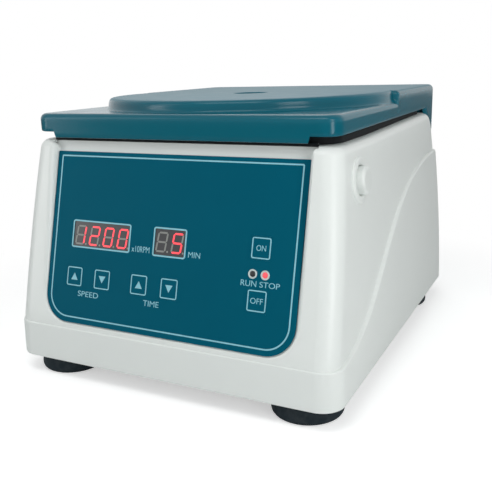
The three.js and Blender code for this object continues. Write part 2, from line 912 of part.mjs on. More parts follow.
function rearVents() {
  const first = -((ventCount - 1) / 2) * ventPitch;
  return Array.from({ length: ventCount }, (_, i) => {
    const z = caseBottom + ventHeight + first + i * ventPitch;
    const inner = caseRearSill - caseWall - overrun;
    return block(-ventLength / 2, ventLength / 2, inner, caseHalfDepth, z, z + ventWidth);
  });
}

const bezelSleeveDepth = buttonSkirtDepth + buttonTravel + runGap + bezelEndWall;

function caseShell() {
  const fillet = Array.from({ length: filletSteps }, (_, step) => {
    const angle = ((step + 1) / filletSteps) * (Math.PI / 2);
    const inset = caseTopFillet * (1 - Math.cos(angle));
    return [caseHeight - caseTopFillet * (1 - Math.sin(angle)), -inset];
  });
  const upper = loft([
    ...[0, ridgeHeight, ...wallLevels, sillHeight].map((height) => caseRing(height, 0)),
    caseRing(caseHeight - caseTopFillet, 0),
    ...fillet.map(([height, grow]) => caseRing(height, grow)),
  ]);
  const skirtLevels = [0, ridgeHeight, ...wallLevels, skirtRearHeight + overrun];
  const skirt = cut(loft(skirtLevels.map(skirtRing)), aboveSweep());
  const lidTail = behindChamfer(sillZ, 0, caseHalfDepth);
  const well = behindChamfer(wellFloorZ, 0, lidHalfWidth + wellSideGap);
  const bowlHole = rod(
    bowlInnerRadius + bowlWall + deckHoleGap,
    deckUnderZ - overrun,
    deckZ + overrun,
    0,
    axisY,
    largeSides,
  );
  const strikerSlot = block(
    deckSlotLow,
    deckSlotHigh,
    buttonY - deckSlotHalfWidth,
    buttonY + deckSlotHalfWidth,
    deckUnderZ - overrun,
    deckZ + overrun,
  );
  const bezelBore = rodX(bezelSleeveRadius + seatGap, -bezelSleeveDepth, overrun, 0, 0, mediumSides);
  const bezelHole = inFrame(bezelBore, sideFrame);
  const depth = skirtProud + caseWall + overrun;
  const inletHole = inFrame(
    block(
      inletX - inletBodyWidth / 2 - seatGap,
      inletX + inletBodyWidth / 2 + seatGap,
      -depth,
      overrun,
      -inletBodyHeight / 2 - seatGap,
      inletBodyHeight / 2 + seatGap,
    ),
    rearFrame,
  );
  const whole = join(upper, skirt);
  const shell = cut(
    whole,
    caseInside(),
    lidTail,
    well,
    bowlHole,
    strikerSlot,
    bezelHole,
    inletHole,
    ...rearVents(),
  );
  const bosses = footPlaces.map(([, x, y]) => caseBoss(x, y).intersect(whole));
  const standoffs = panelStandoffs().map((post) => inFrame(post, panelFrame));
  return cut(join(shell, ...bosses, ...standoffs), ...panelCutters());
}

// Lid, its liner and its sight window
function lidRing(z, inset) {
  return roundedRing(lidHalfWidth - inset, lidFront + inset, lidRear - inset, lidCorner - inset, z);
}

function lidPrism(bottomZ, topZ) {
  const fillet = Array.from({ length: filletSteps }, (_, step) => {
    const angle = ((step + 1) / filletSteps) * (Math.PI / 2);
    return lidRing(topZ - lidTopFillet * (1 - Math.sin(angle)), lidTopFillet * (1 - Math.cos(angle)));
  });
  return loft([lidRing(bottomZ, 0), lidRing(topZ - lidTopFillet, 0), ...fillet]);
}

function lidHollow(bottomZ, topZ) {
  return loft([lidRing(bottomZ, lidWall), lidRing(topZ, lidWall)]);
}

function hingeNotches() {
  const top = hingeZ - hingeNotchRise;
  return [-hingeX, hingeX].map((x) =>
    block(x - hingeNotchHalfWidth, x + hingeNotchHalfWidth, hingeY, lidRear + overrun, caseBottom, top),
  );
}

function lidShell() {
  const side = lidHalfWidth + overrun;
  const overlap = lidSkirtZ + lidWall;
  const bandBox = (front) => block(-side, side, front, lidRear + overrun, caseBottom, lidTopZ + overrun);
  const deck = lidPrism(lidSkirtZ, lidDeckZ);
  const band = lidPrism(lidSkirtZ, lidTopZ).intersect(bandBox(bandFront));
  const plateau = turned(
    [
      [0, lidDeckZ - lidWall / 2],
      [plateauFootRadius, lidDeckZ - lidWall / 2],
      [plateauFootRadius, lidDeckZ],
      [plateauRadius + plateauFootFillet / 2, lidDeckZ + plateauFootFillet / 2],
      [plateauRadius, lidDeckZ + plateauFootFillet * 2],
      [plateauRadius, lidTopZ - plateauFootFillet * 2],
      [(plateauRadius + plateauTopRadius) / 2, lidTopZ - plateauFootFillet / 2],
      [plateauTopRadius, lidTopZ],
      [0, lidTopZ],
    ],
    0,
    axisY,
  );
  const lip = loft([lidRing(caseBottom + lidLipHeight, 0), lidRing(overlap, 0)]).intersect(
    block(-lidLipHalfWidth, lidLipHalfWidth, lidFront - overrun, lidFront + lidWall * 2, caseBottom, lidTopZ),
  );
  const tailSpan = loft([lidRing(caseBottom + lidTailHeight, 0), lidRing(overlap, 0)]);
  const tail = tailSpan.intersect(behindChamfer(caseBottom + lidTailHeight - overrun, runGap, side));
  const hollow = join(
    lidHollow(caseBottom, lidDeckZ - lidWall),
    lidHollow(caseBottom, lidTopZ - lidWall).intersect(bandBox(bandFront + lidWall)),
    rod(plateauTopRadius - lidWall / 2, lidSkirtZ, lidTopZ - lidWall, 0, axisY, largeSides),
  );
  const bossRear = [-linerBossX, linerBossX].map((x) =>
    rod(linerBossRadius, linerZ + linerThickness + seatGap, lidTopZ - lidWall / 2, x, linerBossRear),
  );
  const bossFront = [-linerBossX, linerBossX].map((x) =>
    rod(linerBossRadius, linerZ + linerThickness + seatGap, lidDeckZ - lidWall / 2, x, linerBossFront),
  );
  const portBoss = rod(portBossRadius, lidTopZ - portBossDrop, lidTopZ - lidWall / 2, 0, axisY, mediumSides);
  const shell = cut(join(deck, band, plateau, lip, tail), hollow, ...hingeNotches());
  return cut(
    join(shell, ...bossFront, ...bossRear, portBoss),
    rod(portRadius, lidTopZ - portDepth, lidTopZ + overrun, 0, axisY, mediumSides),
    rod(portHoleRadius, lidSkirtZ, lidTopZ, 0, axisY, mediumSides),
  );
}

function lidLiner() {
  const inset = lidWall + linerGap;
  const plate = roundedPlate(
    lidHalfWidth - inset,
    lidFront + inset,
    linerRear,
    lidCorner - inset,
    linerZ,
    linerZ + linerThickness,
  );
  const dishZ = linerZ + linerDishRise;
  const outer = turned(
    [
      [0, linerZ],
      [linerDishRadius, linerZ],
      [linerDishRadius, linerZ + linerThickness],
      [linerDishTopRadius, dishZ + linerThickness],
      [0, dishZ + linerThickness],
    ],
    0,
    axisY,
  );
  const inner = turned(
    [
      [0, linerZ - overrun],
      [linerDishRadius - linerThickness, linerZ - overrun],
      [linerDishRadius - linerThickness, linerZ],
      [linerDishTopRadius - linerThickness, dishZ],
      [0, dishZ],
    ],
    0,
    axisY,
  );
  const sight = rod(linerHoleRadius, linerZ, dishZ + overrun, 0, axisY, mediumSides);
  return cut(join(plate, outer), inner, sight);
}

function sightWindow() {
  const bottom = lidTopZ - portDepth + seatGap;
  return rod(portRadius - seatGap, bottom, bottom + windowThickness, 0, axisY, mediumSides);
}

function deckGasket() {
  const halfWidth = lidHalfWidth - gasketInset;
  const bottom = deckZ + seatGap;
  const top = linerZ - seatGap;
  const outer = roundedPlate(halfWidth, gasketFront, gasketRear, gasketCorner, bottom, top);
  const inner = roundedPlate(
    halfWidth - gasketWidth,
    gasketFront + gasketWidth,
    gasketRear - gasketWidth,
    gasketCorner - gasketWidth,
    bottom - overrun,
    top + overrun,
  );
  return cut(outer, inner);
}

// Striker: a plate with a window, hung from the liner beside the latch
function latchStriker() {
  const top = linerZ - seatGap;
  const noseZ = caseBottom + latchNoseHeight;
  const windowLow = noseZ - latchNoseThickness / 2 - latchNoseBelow;
  const windowHigh = noseZ + latchNoseThickness / 2 + latchNoseAbove;
  const flange = block(
    strikerFlangeInner,
    strikerFlangeOuter,
    buttonY - strikerHalfWidth,
    buttonY + strikerHalfWidth,
    top - strikerFlangeThickness,
    top,
  );
  const plate = block(
    strikerX,
    strikerX + strikerThickness,
    buttonY - strikerHalfWidth,
    buttonY + strikerHalfWidth,
    windowLow - strikerFoot,
    top,
  );
  const opening = block(
    strikerX - overrun,
    strikerX + overrun,
    buttonY - strikerWindowHalfWidth,
    buttonY + strikerWindowHalfWidth,
    windowLow,
    windowHigh,
  );
  return cut(join(flange, plate), opening);
}

// Hinge: an arm on the lid, between the two ears of a bracket on the case
function hingeArm(x) {
  const top = lidTopZ - lidWall - seatGap;
  const web = slab(
    [
      [hingeY - hingeEyeRadius, hingeZ],
      [hingeY + hingeEyeRadius, hingeZ],
      [hingeY + hingeEyeRadius, top],
      [hingeY - hingeEyeRadius, top],
    ],
    x - hingeArmWidth / 2,
    x + hingeArmWidth / 2,
  );
  const flange = block(
    x - hingeFootHalfWidth,
    x + hingeFootHalfWidth,
    hingeY + hingeEyeRadius - hingeFlangeLength,
    hingeY + hingeEyeRadius,
    top - hingeFlangeThickness,
    top,
  );
  const eye = rodX(hingeEyeRadius, x - hingeArmWidth / 2, x + hingeArmWidth / 2, hingeY, hingeZ);
  const hole = rodX(hingePinRadius + hingeHoleGap, x - hingeArmWidth, x + hingeArmWidth, hingeY, hingeZ);
  return cut(join(web, flange, eye), hole);
}

function hingeBracket(x) {
  const near = hingeArmWidth / 2 + hingeSideGap;
  const far = near + hingeEarWidth;
  const base = hingeAxis.clone().addScaledVector(chamferOut, seatGap - hingeToChamfer);
  const point = (along, outward) => {
    const place = base.clone().addScaledVector(chamferAlong, along).addScaledVector(chamferOut, outward);
    return [place.x, place.y];
  };
  const foot = slab(
    [
      point(-hingeFootUp, 0),
      point(hingeFootDown, 0),
      point(hingeFootDown, hingeFootThickness),
      point(-hingeFootUp, hingeFootThickness),
    ],
    x - hingeFootHalfWidth,
    x + hingeFootHalfWidth,
  );
  const reach = hingeToChamfer - seatGap;
  const earOutline = [
    point(-hingeFootUp, 0),
    point(hingeFootDown, 0),
    point(hingeEyeRadius / Math.SQRT2, reach),
    point(-hingeEyeRadius, reach),
  ];
  const ears = [
    [x - far, x - near],
    [x + near, x + far],
  ].flatMap(([low, high]) => [slab(earOutline, low, high), rodX(hingeEyeRadius, low, high, hingeY, hingeZ)]);
  const hole = rodX(hingePinRadius + hingeHoleGap, x - far * 2, x + far * 2, hingeY, hingeZ);
  return cut(join(foot, ...ears), hole);
}

function hingePin(x) {
  const half = hingeArmWidth / 2 + hingeSideGap + hingeEarWidth + seatGap;
  return join(
    rodX(hingePinRadius, x - half - hingePinHeadLength, x + half + hingePinHeadLength, hingeY, hingeZ),
    rodX(hingePinHeadRadius, x - half - hingePinHeadLength, x - half, hingeY, hingeZ),
    rodX(hingePinHeadRadius, x + half, x + half + hingePinHeadLength, hingeY, hingeZ),
  );
}

// Chamber bowl with its flange on the deck
function chamberBowl() {
  const outer = bowlInnerRadius + bowlWall;
  const flangeZ = deckZ + seatGap;
  const top = flangeZ + bowlFlangeThickness;
  const floorTop = bowlFloorZ + bowlWall;
  return turned(
    [
      [bowlHoleRadius, bowlFloorZ],
      [outer - bowlFloorCorner, bowlFloorZ],
      [outer, bowlFloorZ + bowlFloorCorner],
      [outer, flangeZ],
      [bowlFlangeRadius, flangeZ],
      [bowlFlangeRadius, top],
      [bowlInnerRadius, top],
      [bowlInnerRadius, floorTop + bowlFloorCorner],
      [bowlInnerRadius - bowlFloorCorner, floorTop],
      [bowlHoleRadius, floorTop],
      [bowlHoleRadius, bowlFloorZ],
    ],
    0,
    axisY,
  );
}

// Motor, hung from a bracket on four rubber dampers
const earPlaces = [-1, 1].flatMap((x) => [-1, 1].map((y) => [x * damperOffset, axisY + y * damperOffset]));

function motorBracket() {
  const plate = roundedPlate(
    bracketHalfWidth,
    axisY - bracketHalfWidth,
    axisY + bracketHalfWidth,
    bracketCorner,
    caseBottom + bracketPlateHeight,
    bracketTopZ,
  );
  const legOffset = bracketHalfWidth - bracketLegInset;
  const legs = [-1, 1].flatMap((x) =>
    [-1, 1].map((y) =>
      rod(bracketLegRadius, plateTopZ + seatGap, bracketTopZ, x * legOffset, axisY + y * legOffset),
    ),
  );
  const hole = rod(motorCapRadius, caseBottom, bracketTopZ + overrun, 0, axisY, mediumSides);
  return join(cut(plate, hole), ...legs);
}

function motorCan() {
  const top = capBottomZ - seatGap;
  const boss = motorBottomZ - bearingHeight;
  const inner = motorRadius - motorWall;
  const pocket = bearingOuterRadius + seatGap;
  return turned(
    [
      [shaftRadius + shaftHoleGap, boss - motorWall],
      [pocket + motorWall, boss - motorWall],
      [pocket + motorWall, motorBottomZ],
      [motorRadius, motorBottomZ],
      [motorRadius, top],
      [inner, top],
      [inner, motorBottomZ + motorWall],
      [pocket, motorBottomZ + motorWall],
      [pocket, boss],
      [shaftRadius + shaftHoleGap, boss],
      [shaftRadius + shaftHoleGap, boss - motorWall],
    ],
    0,
    axisY,
    mediumSides,
  );
}

function motorCap() {
  const ears = block(
    -motorEarHalfWidth,
    motorEarHalfWidth,
    axisY - motorEarHalfWidth,
    axisY + motorEarHalfWidth,
    capBottomZ,
    capTopZ,
  ).intersect(rod(motorEarHalfWidth * Math.SQRT2 - motorWall * 2, capBottomZ, capTopZ, 0, axisY));
  const boss = rod(motorBossRadius, capBottomZ, capTopZ + motorBossRise, 0, axisY);
  const pocketZ = capTopZ + motorBossRise - bearingHeight - seatGap;
  const pocket = rod(bearingOuterRadius + seatGap, pocketZ, bowlFloorZ, 0, axisY);
  const bore = rod(shaftRadius + shaftHoleGap * 2, capBottomZ - overrun, bowlFloorZ, 0, axisY);
  return cut(join(ears, boss), pocket, bore);
}

function bearing(bottomZ) {
  return cut(
    rod(bearingOuterRadius, bottomZ, bottomZ + bearingHeight, 0, axisY),
    rod(shaftRadius + shaftHoleGap, bottomZ - overrun, bottomZ + bearingHeight + overrun, 0, axisY),
  );
}

const upperBearingZ = capTopZ + motorBossRise - bearingHeight;
const lowerBearingZ = motorBottomZ - bearingHeight + seatGap;
const hubBottomZ = rotorPlateZ - rotorHubDrop;

function shaftGaiter() {
  const bottom = capTopZ + seatGap;
  const top = bowlFloorZ - seatGap;
  return turned(
    [
      [gaiterRadius - gaiterWall, bottom],
      [gaiterRadius, bottom],
      [gaiterTopRadius, top],
      [gaiterTopRadius - gaiterWall * 2, top],
      [gaiterRadius - gaiterWall, bottom],
    ],
    0,
    axisY,
    smallSides,
  );
}

function motorShaft() {
  const low = armatureZ;
  return join(
    rod(shaftRadius, lowerBearingZ - shaftTail, hubBottomZ + rotorHubSocket - seatGap, 0, axisY),
    rod(armatureRadius, low, low + armatureHeight, 0, axisY),
  );
}

// Rotor: hub, grooved plate and rim
function rotorDisc() {
  const rimInner = rotorRadius - rotorRimWall;
  const body = turned(
    [
      [0, hubBottomZ],
      [rotorHubRadius, hubBottomZ],
      [rotorHubRadius, rotorPlateZ],
      [rotorRadius, rotorPlateZ],
      [rotorRadius, rotorRimZ],
      [rimInner, rotorRimZ],
      [rimInner, rotorTopZ],
      [0, rotorTopZ],
    ],
    0,
    axisY,
  );
  const socketTop = hubBottomZ + rotorHubSocket;
  const socket = rod(shaftRadius + seatGap, hubBottomZ - overrun, socketTop, 0, axisY);
  const threadHole = rod(knobStemRadius + stemHoleGap, socketTop - runGap, rotorTopZ + overrun, 0, axisY);
  const slots = Array.from({ length: slotCount }, (_, i) => {
    const geometry = new THREE.BoxGeometry(slotOuterRadius - slotInnerRadius, slotWidth, slotDepth * 2);
    geometry.translate((slotOuterRadius + slotInnerRadius) / 2, 0, 0);
    geometry.rotateZ((i / slotCount) * Math.PI * 2);
    geometry.translate(0, axisY, rotorTopZ);
    return toSolid(geometry);
  });
  return cut(body, socket, threadHole, ...slots);
}

function rotorGasket() {
  const outer = rotorRadius - rotorRimWall - seatGap;
  const bottom = rotorTopZ + seatGap;
  return turned(
    [
      [outer - rotorGasketWall, bottom],
      [outer, bottom],
      [outer, bottom + rotorGasketHeight],
      [outer - rotorGasketWall, bottom + rotorGasketHeight],
      [outer - rotorGasketWall, bottom],
    ],
    0,
    axisY,
  );
}

function rotorCover() {
  const hole = knobStemRadius + stemHoleGap;
  const top = coverZ + coverThickness;
  return turned(
    [
      [hole, coverZ + coverDishRise],
      [coverDishRadius, coverZ + coverDishRise],
      [coverDishRadius + coverThickness, coverZ],
      [coverRadius, coverZ],
      [coverRadius, top],
      [coverDishRadius + coverThickness, top],
      [coverDishRadius, top + coverDishRise],
      [hole, top + coverDishRise],
      [hole, coverZ + coverDishRise],
    ],
    0,
    axisY,
  );
}

function coverKnob() {
  const bottom = coverZ + coverThickness + coverDishRise + seatGap;
  const topRadius = knobRadius - knobFluteRadius / 2;
  const knob = rod(knobRadius, bottom, bottom + knobHeight, 0, axisY, mediumSides, topRadius);
  const flutes = Array.from({ length: knobFlutes }, (_, i) => {
    const angle = (i / knobFlutes) * Math.PI * 2;
    return rod(
      knobFluteRadius,
      bottom + knobFluteRadius,
      bottom + knobHeight + overrun,
      knobRadius * Math.cos(angle),
      axisY + knobRadius * Math.sin(angle),
      tinySides,
    );
  });
  const stem = rod(knobStemRadius, bottom - knobStemLength, bottom + knobFluteRadius, 0, axisY);
  return join(cut(knob, ...flutes), stem);
}

// Release button, its bezel and the latch behind it
const leverFaceX = latchPivotX + latchArmThickness / 2;
const leverDistance = (caseHalfWidth(buttonHeight) - leverFaceX - runGap) / Math.cos(sideLean);
const stemEnd = -leverDistance + buttonStemRadius * Math.tan(sideLean);

function releaseBezel() {
  const bore = buttonRadius + buttonBoreGap;
  const body = join(
    rodX(bezelRadius, seatGap, seatGap + bezelProud, 0, 0, mediumSides),
    rodX(bezelSleeveRadius, -bezelSleeveDepth, seatGap + bezelProud / 2, 0, 0, mediumSides),
  );
  return cut(
    body,
    rodX(bore, -bezelSleeveDepth + bezelEndWall, overrun, 0, 0, mediumSides),
    rodX(buttonStemRadius + buttonBoreGap, -bezelSleeveDepth - overrun, 0, 0, 0),
  );
}

function releaseButton() {
  const geometry = new THREE.LatheGeometry(
    [
      [0, -buttonSkirtDepth],
      [buttonRadius, -buttonSkirtDepth],
      [buttonRadius, buttonProud - buttonEdge],
      [buttonRadius - buttonEdge / 3, buttonProud - buttonEdge / 3],
      [buttonRadius - buttonEdge, buttonProud],
      [0, buttonProud],
    ].map(([r, x]) => new THREE.Vector2(r, x)),
    mediumSides,
  );
  geometry.rotateZ(-Math.PI / 2);
  return join(toSolid(geometry), rodX(buttonStemRadius, stemEnd, -buttonSkirtDepth / 2, 0, 0));
}

const latchPivotZ = caseBottom + latchPivotHeight;
const latchNoseZ = caseBottom + latchNoseHeight;

function latchHook() {
  const low = buttonY - latchHalfWidth;
  const high = buttonY + latchHalfWidth;
  const half = latchArmThickness / 2;
  const noseTop = latchNoseZ + latchNoseThickness / 2;
  const arm = block(latchPivotX - half, latchPivotX + half, low, high, latchPivotZ - latchArmDrop, noseTop);
  const nose = block(
    strikerX + strikerThickness + latchNoseGap,
    latchPivotX + half,
    low,
    high,
    latchNoseZ - latchNoseThickness / 2,
    noseTop,
  );
  const eye = rodY(latchEyeRadius, low, high, latchPivotX, latchPivotZ);
  const hole = rodY(latchPinRadius + latchPinGap, low - overrun, high + overrun, latchPivotX, latchPivotZ);
  return cut(join(arm, nose, eye), hole);
}

const cheekNear = latchHalfWidth + runGap;

function latchBracket() {
  const top = deckUnderZ - seatGap;
  const inner = strikerX + strikerThickness + runGap;
  const outer = caseHalfWidthTop - caseWall - runGap;
  const plate = block(
    inner,
    outer,
    buttonY - latchPlateHalfWidth,
    buttonY + latchPlateHalfWidth,
    top - latchPlateThickness,
    top,
  );
  const cheeks = [
    [buttonY - cheekNear - cheekThickness, buttonY - cheekNear],
    [buttonY + cheekNear, buttonY + cheekNear + cheekThickness],
  ].map(([y0, y1]) => block(inner, latchPivotX + cheekReach, y0, y1, top - cheekDrop, top));
  const hole = rodY(
    latchPinRadius + latchPinGap,
    buttonY - latchPlateHalfWidth,
    buttonY + latchPlateHalfWidth,
    latchPivotX,
    latchPivotZ,
  );
  return cut(join(plate, ...cheeks), hole);
}

function latchPin() {
  const half = cheekNear + cheekThickness + seatGap;
  const head = latchPinRadius + latchPinGap * 2;
  return join(
    rodY(latchPinRadius, buttonY - half, buttonY + half, latchPivotX, latchPivotZ),
    rodY(head, buttonY - half - cheekThickness / 2, buttonY - half, latchPivotX, latchPivotZ),
    rodY(head, buttonY + half, buttonY + half + cheekThickness / 2, latchPivotX, latchPivotZ),
  );
}

function lidSwitch() {
  const top = deckUnderZ - seatGap;
  const body = block(
    switchX,
    switchX + switchWidth,
    buttonY - switchLength / 2,
    buttonY + switchLength / 2,
    top - switchHeight,
    top,
  );
  const lever = block(
    switchX + switchWidth / 2,
    switchX + switchWidth + switchWidth / 2,
    buttonY - switchWidth / 4,
    buttonY + switchWidth / 4,
    top - switchHeight + seatGap * 2,
    top - switchHeight + seatGap * 2 + screwHoleGap * 2,
  );
  return join(body, lever);
}

// Base plate, feet and screws
function basePlate() {
  const low = caseBottom + plateHeight;
  const outline = caseRing(plateHeight, -caseWall - runGap);
  const plate = loft([outline, outline.map((point) => point.clone().setZ(low + plateThickness))]);
  const holes = footPlaces.map(([, x, y]) =>
    rod(screwRadius + screwHoleGap, caseBottom - overrun, plateTopZ + overrun, x, y),
  );
  const postTop = plateTopZ + powerStandoffHeight - seatGap;
  const posts = powerStandoffPlaces().map(([x, y]) =>
    rod(standoffRadius, low + plateThickness / 2, postTop, x, y, tinySides),
  );
  return cut(join(plate, ...posts), ...holes);
}

function powerStandoffPlaces() {
  return [-1, 1].flatMap((x) =>
    [-1, 1].map((y) => [
      powerBoardX + x * (powerBoardLength / 2 - standoffInset),
      powerBoardY + y * (powerBoardWidth / 2 - standoffInset),
    ]),
  );
}

function foot() {
  const top = caseBottom + plateHeight - seatGap;
  const body = turned(
    [
      [0, 0],
      [footRadius - footEdge, 0],
      [footRadius - footEdge / 3, footEdge / 3],
      [footRadius, footEdge],
      [footTopRadius, top],
      [0, top],
    ],
    0,
    0,
    mediumSides,
  );
  return cut(
    body,
    rod(footSocketRadius, -overrun, footSocketDepth),
    rod(screwRadius + screwHoleGap, 0, top + overrun),
  );
}

function footScrew() {
  const head = footSocketDepth - seatGap;
  const tip = plateTopZ + seatGap + screwBite;
  return join(
    rod(screwHeadRadius, head - screwHeadHeight, head),
    rod(screwRadius, head - screwHeadHeight / 2, tip, 0, 0, tinySides),
  );
}

// Power board and transformer on the base plate
const powerBoardZ = plateTopZ + powerStandoffHeight;

function powerBoard() {
  const top = powerBoardZ + boardThickness;
  const board = block(
    powerBoardX - powerBoardLength / 2,
    powerBoardX + powerBoardLength / 2,
    powerBoardY - powerBoardWidth / 2,
    powerBoardY + powerBoardWidth / 2,
    powerBoardZ,
    top,
  );
  const capacitors = [-1, 1].map((side) =>
    rod(
      capacitorRadius,
      powerBoardZ + boardThickness / 2,
      top + capacitorHeight,
      powerBoardX + side * capacitorRadius * 2,
      powerBoardY,
    ),
  );
  return join(board, ...capacitors);
}

function transformer() {
  const bottom = plateTopZ + seatGap;
  const core = block(
    transformerX - transformerLength / 2,
    transformerX + transformerLength / 2,
    transformerY - transformerWidth / 2 + coilProud,
    transformerY + transformerWidth / 2 - coilProud,
    bottom,
    bottom + transformerHeight,
  );
  const coil = block(
    transformerX - coilHalfLength,
    transformerX + coilHalfLength,
    transformerY - transformerWidth / 2,
    transformerY + transformerWidth / 2,
    bottom + coilProud,
    bottom + transformerHeight - coilProud,
  );
  return join(core, coil);
}

// Rear inlet with its fuse drawer and rocker switch
const rockerX = inletX + rockerOffset;
const rockerPivotY = seatGap + inletFlange - rockerPinDepth;
const rockerTilt = Math.atan(rockerCrown / (rockerLength / 2));

function powerInlet() {
  const flangeFront = seatGap + inletFlange;
  const flange = block(
    inletX - inletWidth / 2,
    inletX + inletWidth / 2,
    seatGap,
    flangeFront,
    -inletHeight / 2,
    inletHeight / 2,
  );
  const body = block(
    inletX - inletBodyWidth / 2,
    inletX + inletBodyWidth / 2,
    -inletDepth,
    flangeFront,
    -inletBodyHeight / 2,
    inletBodyHeight / 2,
  );
  const left = inletX + socketX - socketWidth / 2;
  const right = left + socketWidth;
  const socketOutline = [
    [left, -socketHeight / 2],
    [right, -socketHeight / 2],
    [right, socketHeight / 2 - socketCut],
    [right - socketCut, socketHeight / 2],
    [left + socketCut, socketHeight / 2],
    [left, socketHeight / 2 - socketCut],
  ];
  const socketBottom = flangeFront - socketDepth;
  const socket = drawnY(socketOutline, socketBottom, flangeFront + overrun);
  const cavity = block(
    inletX + drawerX - drawerWidth / 2 - drawerGap,
    inletX + drawerX + drawerWidth / 2 + drawerGap,
    flangeFront - drawerDepth - drawerGap,
    flangeFront + overrun,
    -drawerHeight / 2 - drawerGap,
    drawerHeight / 2 + drawerGap,
  );
  const pins = [-1, 0, 1].map((side) => {
    const x = inletX + socketX + side * socketPinPitch;
    const z = side === 0 ? socketPinOffset : -socketPinOffset;
    return block(
      x - socketPinThickness / 2,
      x + socketPinThickness / 2,
      socketBottom - inletFlange,
      socketBottom + socketPinLength,
      z - socketPinWidth / 2,
      z + socketPinWidth / 2,
    );
  });
  const pocketHalfWidth = rockerWidth / 2 + rockerGap;
  const pocketHalfLength = rockerLength / 2 + rockerSwingGap;
  const pocket = block(
    rockerX - pocketHalfWidth,
    rockerX + pocketHalfWidth,
    flangeFront - rockerPocketDepth,
    flangeFront + overrun,
    -pocketHalfLength,
    pocketHalfLength,
  );
  const reach = pocketHalfWidth + rockerPinBite + seatGap;
  const pivotHole = rodX(rockerPinRadius + seatGap, rockerX - reach, rockerX + reach, rockerPivotY, 0);
  return join(cut(join(flange, body), socket, cavity, pocket, pivotHole), ...pins);
}

function fuseDrawer() {
  const flangeFront = seatGap + inletFlange;
  const halfWidth = drawerWidth / 2;
  const x = inletX + drawerX;
  const body = block(
    x - halfWidth,
    x + halfWidth,
    flangeFront - drawerDepth,
    flangeFront,
    -drawerHeight / 2,
    drawerHeight / 2,
  );
  const grip = block(
    x - halfWidth,
    x + halfWidth,
    flangeFront - drawerFace / 2,
    flangeFront + drawerFace / 2,
    drawerHeight / 2 - drawerFace,
    drawerHeight / 2,
  );
  return join(body, grip);
}

function powerRocker() {
  const halfWidth = rockerWidth / 2;
  const halfLength = rockerLength / 2;
  const back = -rockerThickness / 2;
  const front = rockerPinDepth + rockerCrown;
  const outline = [
    [back, -halfLength],
    [front, -halfLength],
    [front - rockerCrown, 0],
    [front, halfLength],
    [back, halfLength],
  ];
  const bar = slab(outline, -halfWidth, halfWidth);
  const reach = halfWidth + rockerGap + rockerPinBite;
  return join(bar, rodX(rockerPinRadius, -reach, reach, 0, 0));
}

// Film, keys, lamps and displays on the sloping panel, and the board behind them
function controlPanel() {
  const film = drawnY(panelOutline(0, 0), 0, panelThickness);
  const through = panelThickness + overrun;
  const keys = Object.keys(keyPlaces).map((name) => keyBlock(name, seatGap, -overrun, through));
  const displays = Object.keys(displayPlaces).map((name) => displayBlock(name, seatGap, -overrun, through));
  const lamps = Object.values(lampPlaces).map(([x, z]) =>
    rodY(lampRadius + seatGap, -overrun, through, x, z),
  );
  return cut(film, ...keys, ...displays, ...lamps);
}

function panelKey(name) {
  const [x, z] = keyPlaces[name];
  const stemTip = boardFrontY - seatGap - keyTravel;
  const stem = rodY(keyStemRadius, panelThickness / 2, stemTip, x, z, tinySides);
  return join(keyBlock(name, 0, 0, panelThickness), stem);
}

function panelLamp(name) {
  const [x, z] = lampPlaces[name];
  const geometry = new THREE.LatheGeometry(
    [
      [0, -boardFrontY + seatGap],
      [lampRadius, -boardFrontY + seatGap],
      [lampRadius, -lampProud],
      [lampRadius - lampProud, lampProud / 2],
      [0, lampProud],
    ].map(([r, out]) => new THREE.Vector2(r, out)),
    smallSides,
  );
  geometry.rotateX(Math.PI);
  geometry.translate(x, 0, z);
  return toSolid(geometry);
}

function controlBoard() {
  return block(
    -boardHalfWidth,
    boardHalfWidth,
    boardFrontY,
    boardFrontY + boardThickness,
    -boardBottomDrop,
    -boardTopDrop,
  );
}

// Assembly
const centrifuge = new THREE.Group();
centrifuge.name = "hematocrit_centrifuge";
centrifuge.add(panelFrame, rearFrame, sideFrame);

function place(name, solid, material, parent = centrifuge) {
  const mesh = new THREE.Mesh(toGeometry(solid), material);
  mesh.name = name;
  parent.add(mesh);
  return mesh;
}

place("housing_shell", caseShell(), caseWhite);
place("base_plate", basePlate(), blackPlastic);
for (const [corner, x, y] of footPlaces) {
  place(`foot_${corner}`, foot(), blackRubber).position.set(x, y, 0);
  place(`foot_screw_${corner}`, footScrew(), zincSteel).position.set(x, y, 0);
}

place("lid_shell", lidShell(), lidTeal);
place("lid_liner", lidLiner(), sheetSteel);
place("sight_window", sightWindow(), smokyAcrylic);
place("deck_gasket", deckGasket(), blackRubber);
place("latch_striker", latchStriker(), zincSteel);
for (const [side, x] of [
  ["left", -hingeX],
  ["right", hingeX],
]) {
  place(`hinge_arm_${side}`, hingeArm(x), zincSteel);
  place(`hinge_bracket_${side}`, hingeBracket(x), zincSteel);
  place(`hinge_pin_${side}`, hingePin(x), zincSteel);
}

place("chamber_bowl", chamberBowl(), aluminium);
place("motor_bracket", motorBracket(), sheetSteel);
earPlaces.forEach(([x, y], index) => {
  const bottom = bracketTopZ + seatGap;
  place(`motor_damper_${index + 1}`, rod(damperRadius, bottom, bottom + damperHeight, x, y), blackRubber);
});
place("motor_can", motorCan(), blackPlastic);
place("motor_cap", motorCap(), aluminium);
place("upper_bearing", bearing(upperBearingZ), zincSteel);
place("lower_bearing", bearing(lowerBearingZ), zincSteel);
place("shaft_gaiter", shaftGaiter(), blackRubber);
place("motor_shaft", motorShaft(), zincSteel);

place("rotor_disc", rotorDisc(), aluminium);
place("rotor_gasket", rotorGasket(), blackRubber);
place("rotor_cover", rotorCover(), aluminium);
place("cover_knob", coverKnob(), blackPlastic);

